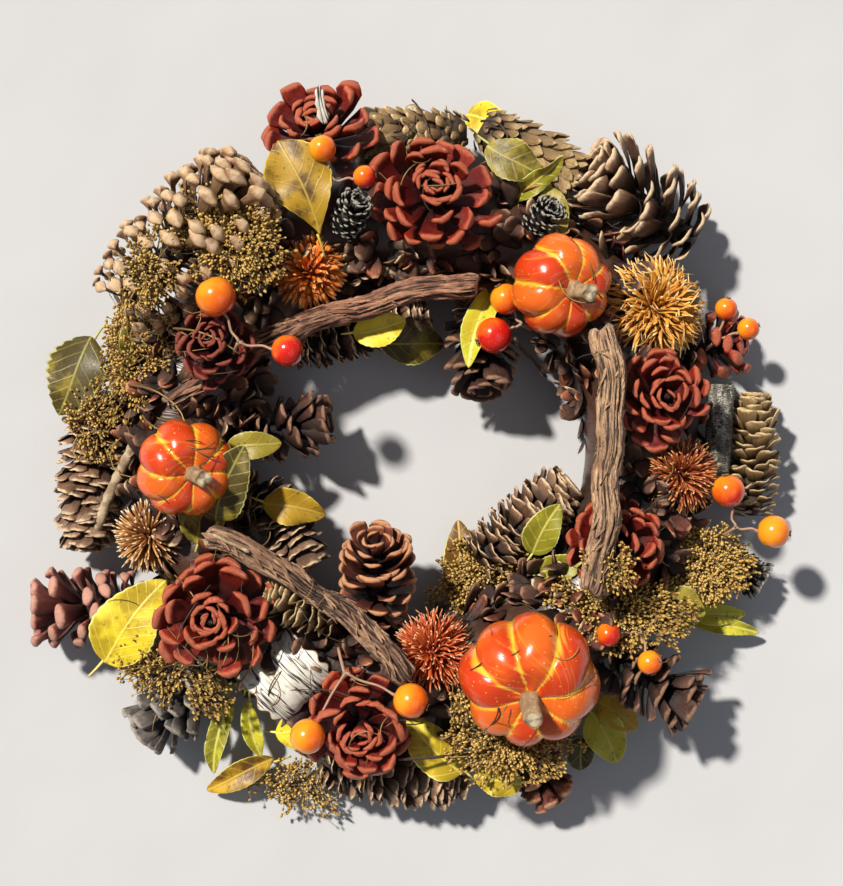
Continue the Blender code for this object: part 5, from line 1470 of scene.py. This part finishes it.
def topPoint(angle, offset, lift):
    x, y = ringPlace(angle, offset)
    return np.array([x, y, topAt(x, y) + lift * mm])


looseTwigs = {  # both ends as ring angle, offset, lift; radius in mm; finish
    "twig_left": ((-166, 43, 3), (178, 21, 3), 2.3, "twig_pale"),
    "twig_split_top": ((111, -17, 2), (82, -23, 4), 2.6, "twig_pale"),
    "twig_inner_left": ((-157, -12, 2), (-148, -22, 3), 0.8, "twig_pale"),
    "twig_inner_right": ((48, -36, 1), (29, -34, 2), 0.8, "twig_dark"),
    "twig_left_tendril": ((160, 24, 4), (152, 52, 3), 0.9, "twig_dark"),
    "twig_bottom": ((-93, 30, 3), (-60, 50, 2), 0.7, "twig_dark"),
}
for seed, (name, (start, end, radius, finish)) in enumerate(looseTwigs.items()):
    addPiece(name, [twigPart(topPoint(*start), topPoint(*end), radius * mm, 700 + seed)], finish)

smallCones = {  # ring angle, offset, lift, heading, tilt, length, radius, colour
    "alder_cone_upper_right": (61, 13, 1, 40, 50, 18, 8, "black_cone"),
    "alder_cone_left": (158, 22, 0, 100, 40, 24, 11, "grey_cone"),
}
for seed, (name,
           (angle, offset, lift, heading, tilt, length, radius, colour)) in enumerate(smallCones.items()):
    axes = frameAxes(heading, tilt)
    size = np.array([length, 2 * radius, 2 * radius]) * mm
    spot = {"axes": axes, "size": size, "middle": axes @ topPoint(angle, offset, lift)}
    addPiece(name + "_scales", coneScales(spot, coneForms["seed"], 720 + seed), colour)


def tangle(count, seed, spread, radius, length, curl, arc):
    # Thin curved fibres over the cover, each an arc from a random point on the ring; those that would
    # hang over the floor are left out
    rng = np.random.default_rng(seed)
    angle, offset = rng.uniform(*arc, count), rng.uniform(*spread, count)
    heading = rng.uniform(0, 2 * np.pi, count)
    u = np.linspace(0, 1, 9)[None]
    bend = heading[:, None] + rng.normal(0, curl, (count, 1)) * u
    step = length * rng.uniform(0.5, 1.2, (count, 1)) / 8 * mm
    x0, y0 = ringPlace(angle, offset)
    x = x0[:, None] + np.cumsum(np.cos(bend), 1) * step
    y = y0[:, None] + np.cumsum(np.sin(bend), 1) * step
    under = np.array([[topAt(a, b, 0) for a, b in zip(*row)] for row in zip(x, y)])
    kept = under.min(1) > 20 * mm
    level = under.mean(1, keepdims=True)
    z = np.maximum(under, level) + 1.8 * mm * np.sin(np.pi * u) * rng.uniform(.2, 1.6, (count, 1)) - 0.8 * mm
    z = (z + np.roll(z, 1, 1) + np.roll(z, -1, 1)) / 3
    z[:, 0], z[:, -1] = z[:, 1] - 1 * mm, z[:, -2] - 1 * mm
    paths = np.stack([x, y, z], -1)[kept]
    thick = radius * mm * np.linspace(1, 0.5, 9)[None] * rng.uniform(.6, 1.3, (len(paths), 1))
    return stems(paths, thick, rng.random(len(paths)), 5)


# count, the spread of offsets, radius and length in mm, curl, arc of the ring, finish, slot
tangles = {
    "loose_fibres_dark": (90, (-30, 46), 0.32, 24, 1.4, (-180, 180), "twig_dark", "bark"),
    "loose_fibres_pale": (90, (-30, 46), 0.30, 18, 2.0, (-180, 180), "bloom_stems", "bloom"),
    "curly_tendrils_left": (70, (12, 50), 0.42, 34, 3.4, (146, 182), "bloom_stems", "bloom"),
    "curly_tendrils_low": (60, (25, 55), 0.36, 34, 2.0, (-142, -112), "bloom_stems", "bloom"),
    "curly_tendrils_top": (26, (30, 60), 0.50, 26, 2.6, (76, 96), "twig_dark", "bark"),
}
for seed, (name, (count, spread, radius, length, curl, arc, finish, slot)) in enumerate(tangles.items()):
    addPiece(name, [tangle(count, 731 + seed, spread, radius, length, curl, arc)], finish)


def groundScales(count, seed, section, size):
    # Loose cone scales that lie on the tape like shingles, leaning off it at random, wherever no piece
    # of the cover stands over them. section is the range of angles round the ring's own section
    rng = np.random.default_rng(seed)
    around = rng.uniform(-180, 180, count)
    over = np.radians(rng.uniform(*section, count))
    rim = ring["straw"] + ring["gap"] + ring["tape"]
    out = ring["middle"] + rim * np.cos(over)
    place = np.radians(around)
    foot = np.stack([out * np.cos(place), out * np.sin(place), ring["back"] + rim * np.sin(over)], -1)
    away = np.stack([np.cos(over) * np.cos(place), np.cos(over) * np.sin(place), np.sin(over)], -1)
    bare = np.array([topAt(x, y, 0) < z + 7 * mm for x, y, z in foot])
    foot, away, place = foot[bare], away[bare], place[bare]
    count = len(foot)
    along = np.stack([-np.sin(place), np.cos(place), 0 * place], -1)
    turn = rng.uniform(0, 2 * np.pi, count)[:, None]
    flat = along * np.cos(turn) + np.cross(away, along) * np.sin(turn)
    lean = np.radians(rng.uniform(12, 50, count))[:, None]
    length = rng.uniform(*size, count)[:, None] * mm
    u = np.linspace(0, 1, 7)[None, :, None]
    way = flat * np.cos(lean) + away * np.sin(lean)
    arch = away[:, None] * length[:, None] * 0.16 * u**2
    paths = (foot - away * 1 * mm)[:, None] + way[:, None] * length[:, None] * u + arch
    tangents = unit(np.gradient(paths, axis=1))
    across = unit(np.cross(away[:, None], tangents))
    wide = length * np.array([.12, .17, .23, .29, .31, .25, .10])[None]
    return loft(paths, across, np.cross(tangents, across), wide, wide * 0.22, u[..., 0], rng.random(count),
                None, 8, lambda side, half: -0.25 * half * (side / half) ** 2, bluntness=0.8)


# the dark scales, near black and the most numerous, fill the gaps between pieces: real loose scales that also
# stand as painted shade
looseScales = {"dark": (900, (-12, 192), (9, 17)), "russet": (420, (5, 175), (8, 15)),
               "brown": (260, (10, 185), (8, 14))}
for seed, (tint, (count, section, size)) in enumerate(looseScales.items()):
    addPiece("ground_scales_" + tint, [groundScales(count, 741 + seed, section, size)], tint + "_cone")


def sliver(start, heading, length, width, seed):
    # A flat splinter of white bark
    share = np.linspace(0, 1, 14)
    path = np.stack([share * length, 0.04 * length * np.sin(share * 3), 0.1 * length * share], -1)
    across, above = pathFrames(path[None])
    half = width / 2 * np.interp(share, (0, .1, .8, 1),
                                 (.4, 1, .8, .1)) * (1 + 0.2 * np.sin(share * 21 + seed))
    part = loft(path[None], across, above, half[None], 0.35 * mm, share[None], 0.5, 0.0, 10)
    part["points"] = part["points"] @ frameAxes(heading, 15) + start
    return part


addPiece("birch_sliver", [sliver(topPoint(105, 43, 2), 98, 17 * mm, 5 * mm, 3)], "birch_white")
print("small trim made")


# Floor, light and camera
# A square of paper just under the back of the wreath
edge, under = 1.6, -0.4 * mm
floorMesh = bpy.data.meshes.new("floor")
floorMesh.from_pydata([(-edge, -edge, under), (-edge, edge, under), (edge, -edge, under),
                       (edge, edge, under)],
                      [], [(0, 2, 3, 1)])
floorMesh.materials.append(materials["paper"])
floor = bpy.data.objects.new("floor", floorMesh)
bpy.context.scene.collection.objects.link(floor)


def aimLight(name, kind, place, target, **settings):
    data = bpy.data.lights.new(name, kind)
    for key, value in settings.items():
        setattr(data, key, value)
    light = bpy.data.objects.new(name, data)
    light.location = place
    light.rotation_euler = (Vector(target) - Vector(place)).to_track_quat("-Z", "Y").to_euler()
    bpy.context.scene.collection.objects.link(light)
    return light


lightRig = dict(key=5.6, keySpread=0.07, keyFrom=(-0.62, 0.62, 1.15), fill=2.0, fillFrom=(0.9, -0.5, 1.4),
                fillSize=1.2, world=0.19)
aimLight("key", "SUN", lightRig["keyFrom"], (0, 0, 0), energy=lightRig["key"], angle=lightRig["keySpread"],
         color=(1.0, 0.94, 0.85))
aimLight("fill", "AREA", lightRig["fillFrom"], (0, 0, 0), energy=lightRig["fill"], size=lightRig["fillSize"],
         color=(0.86, 0.92, 1.0))
world = bpy.data.worlds.new("studio")
world.use_nodes = True
world.node_tree.nodes["Background"].inputs["Color"].default_value = (0.86, 0.9, 1.0, 1.0)
world.node_tree.nodes["Background"].inputs["Strength"].default_value = lightRig["world"]
bpy.context.scene.world = world
bpy.context.scene.view_settings.view_transform = "Standard"

cameraRig = dict(place=(3.8 * mm, 3.2 * mm, 800 * mm), lens=69.5, sensor=36.0)
lens = bpy.data.cameras.new("camera")
lens.lens, lens.sensor_width, lens.clip_start = cameraRig["lens"], cameraRig["sensor"], 0.01
camera = bpy.data.objects.new("camera", lens)
camera.location = cameraRig["place"]
bpy.context.scene.collection.objects.link(camera)
bpy.context.scene.camera = camera
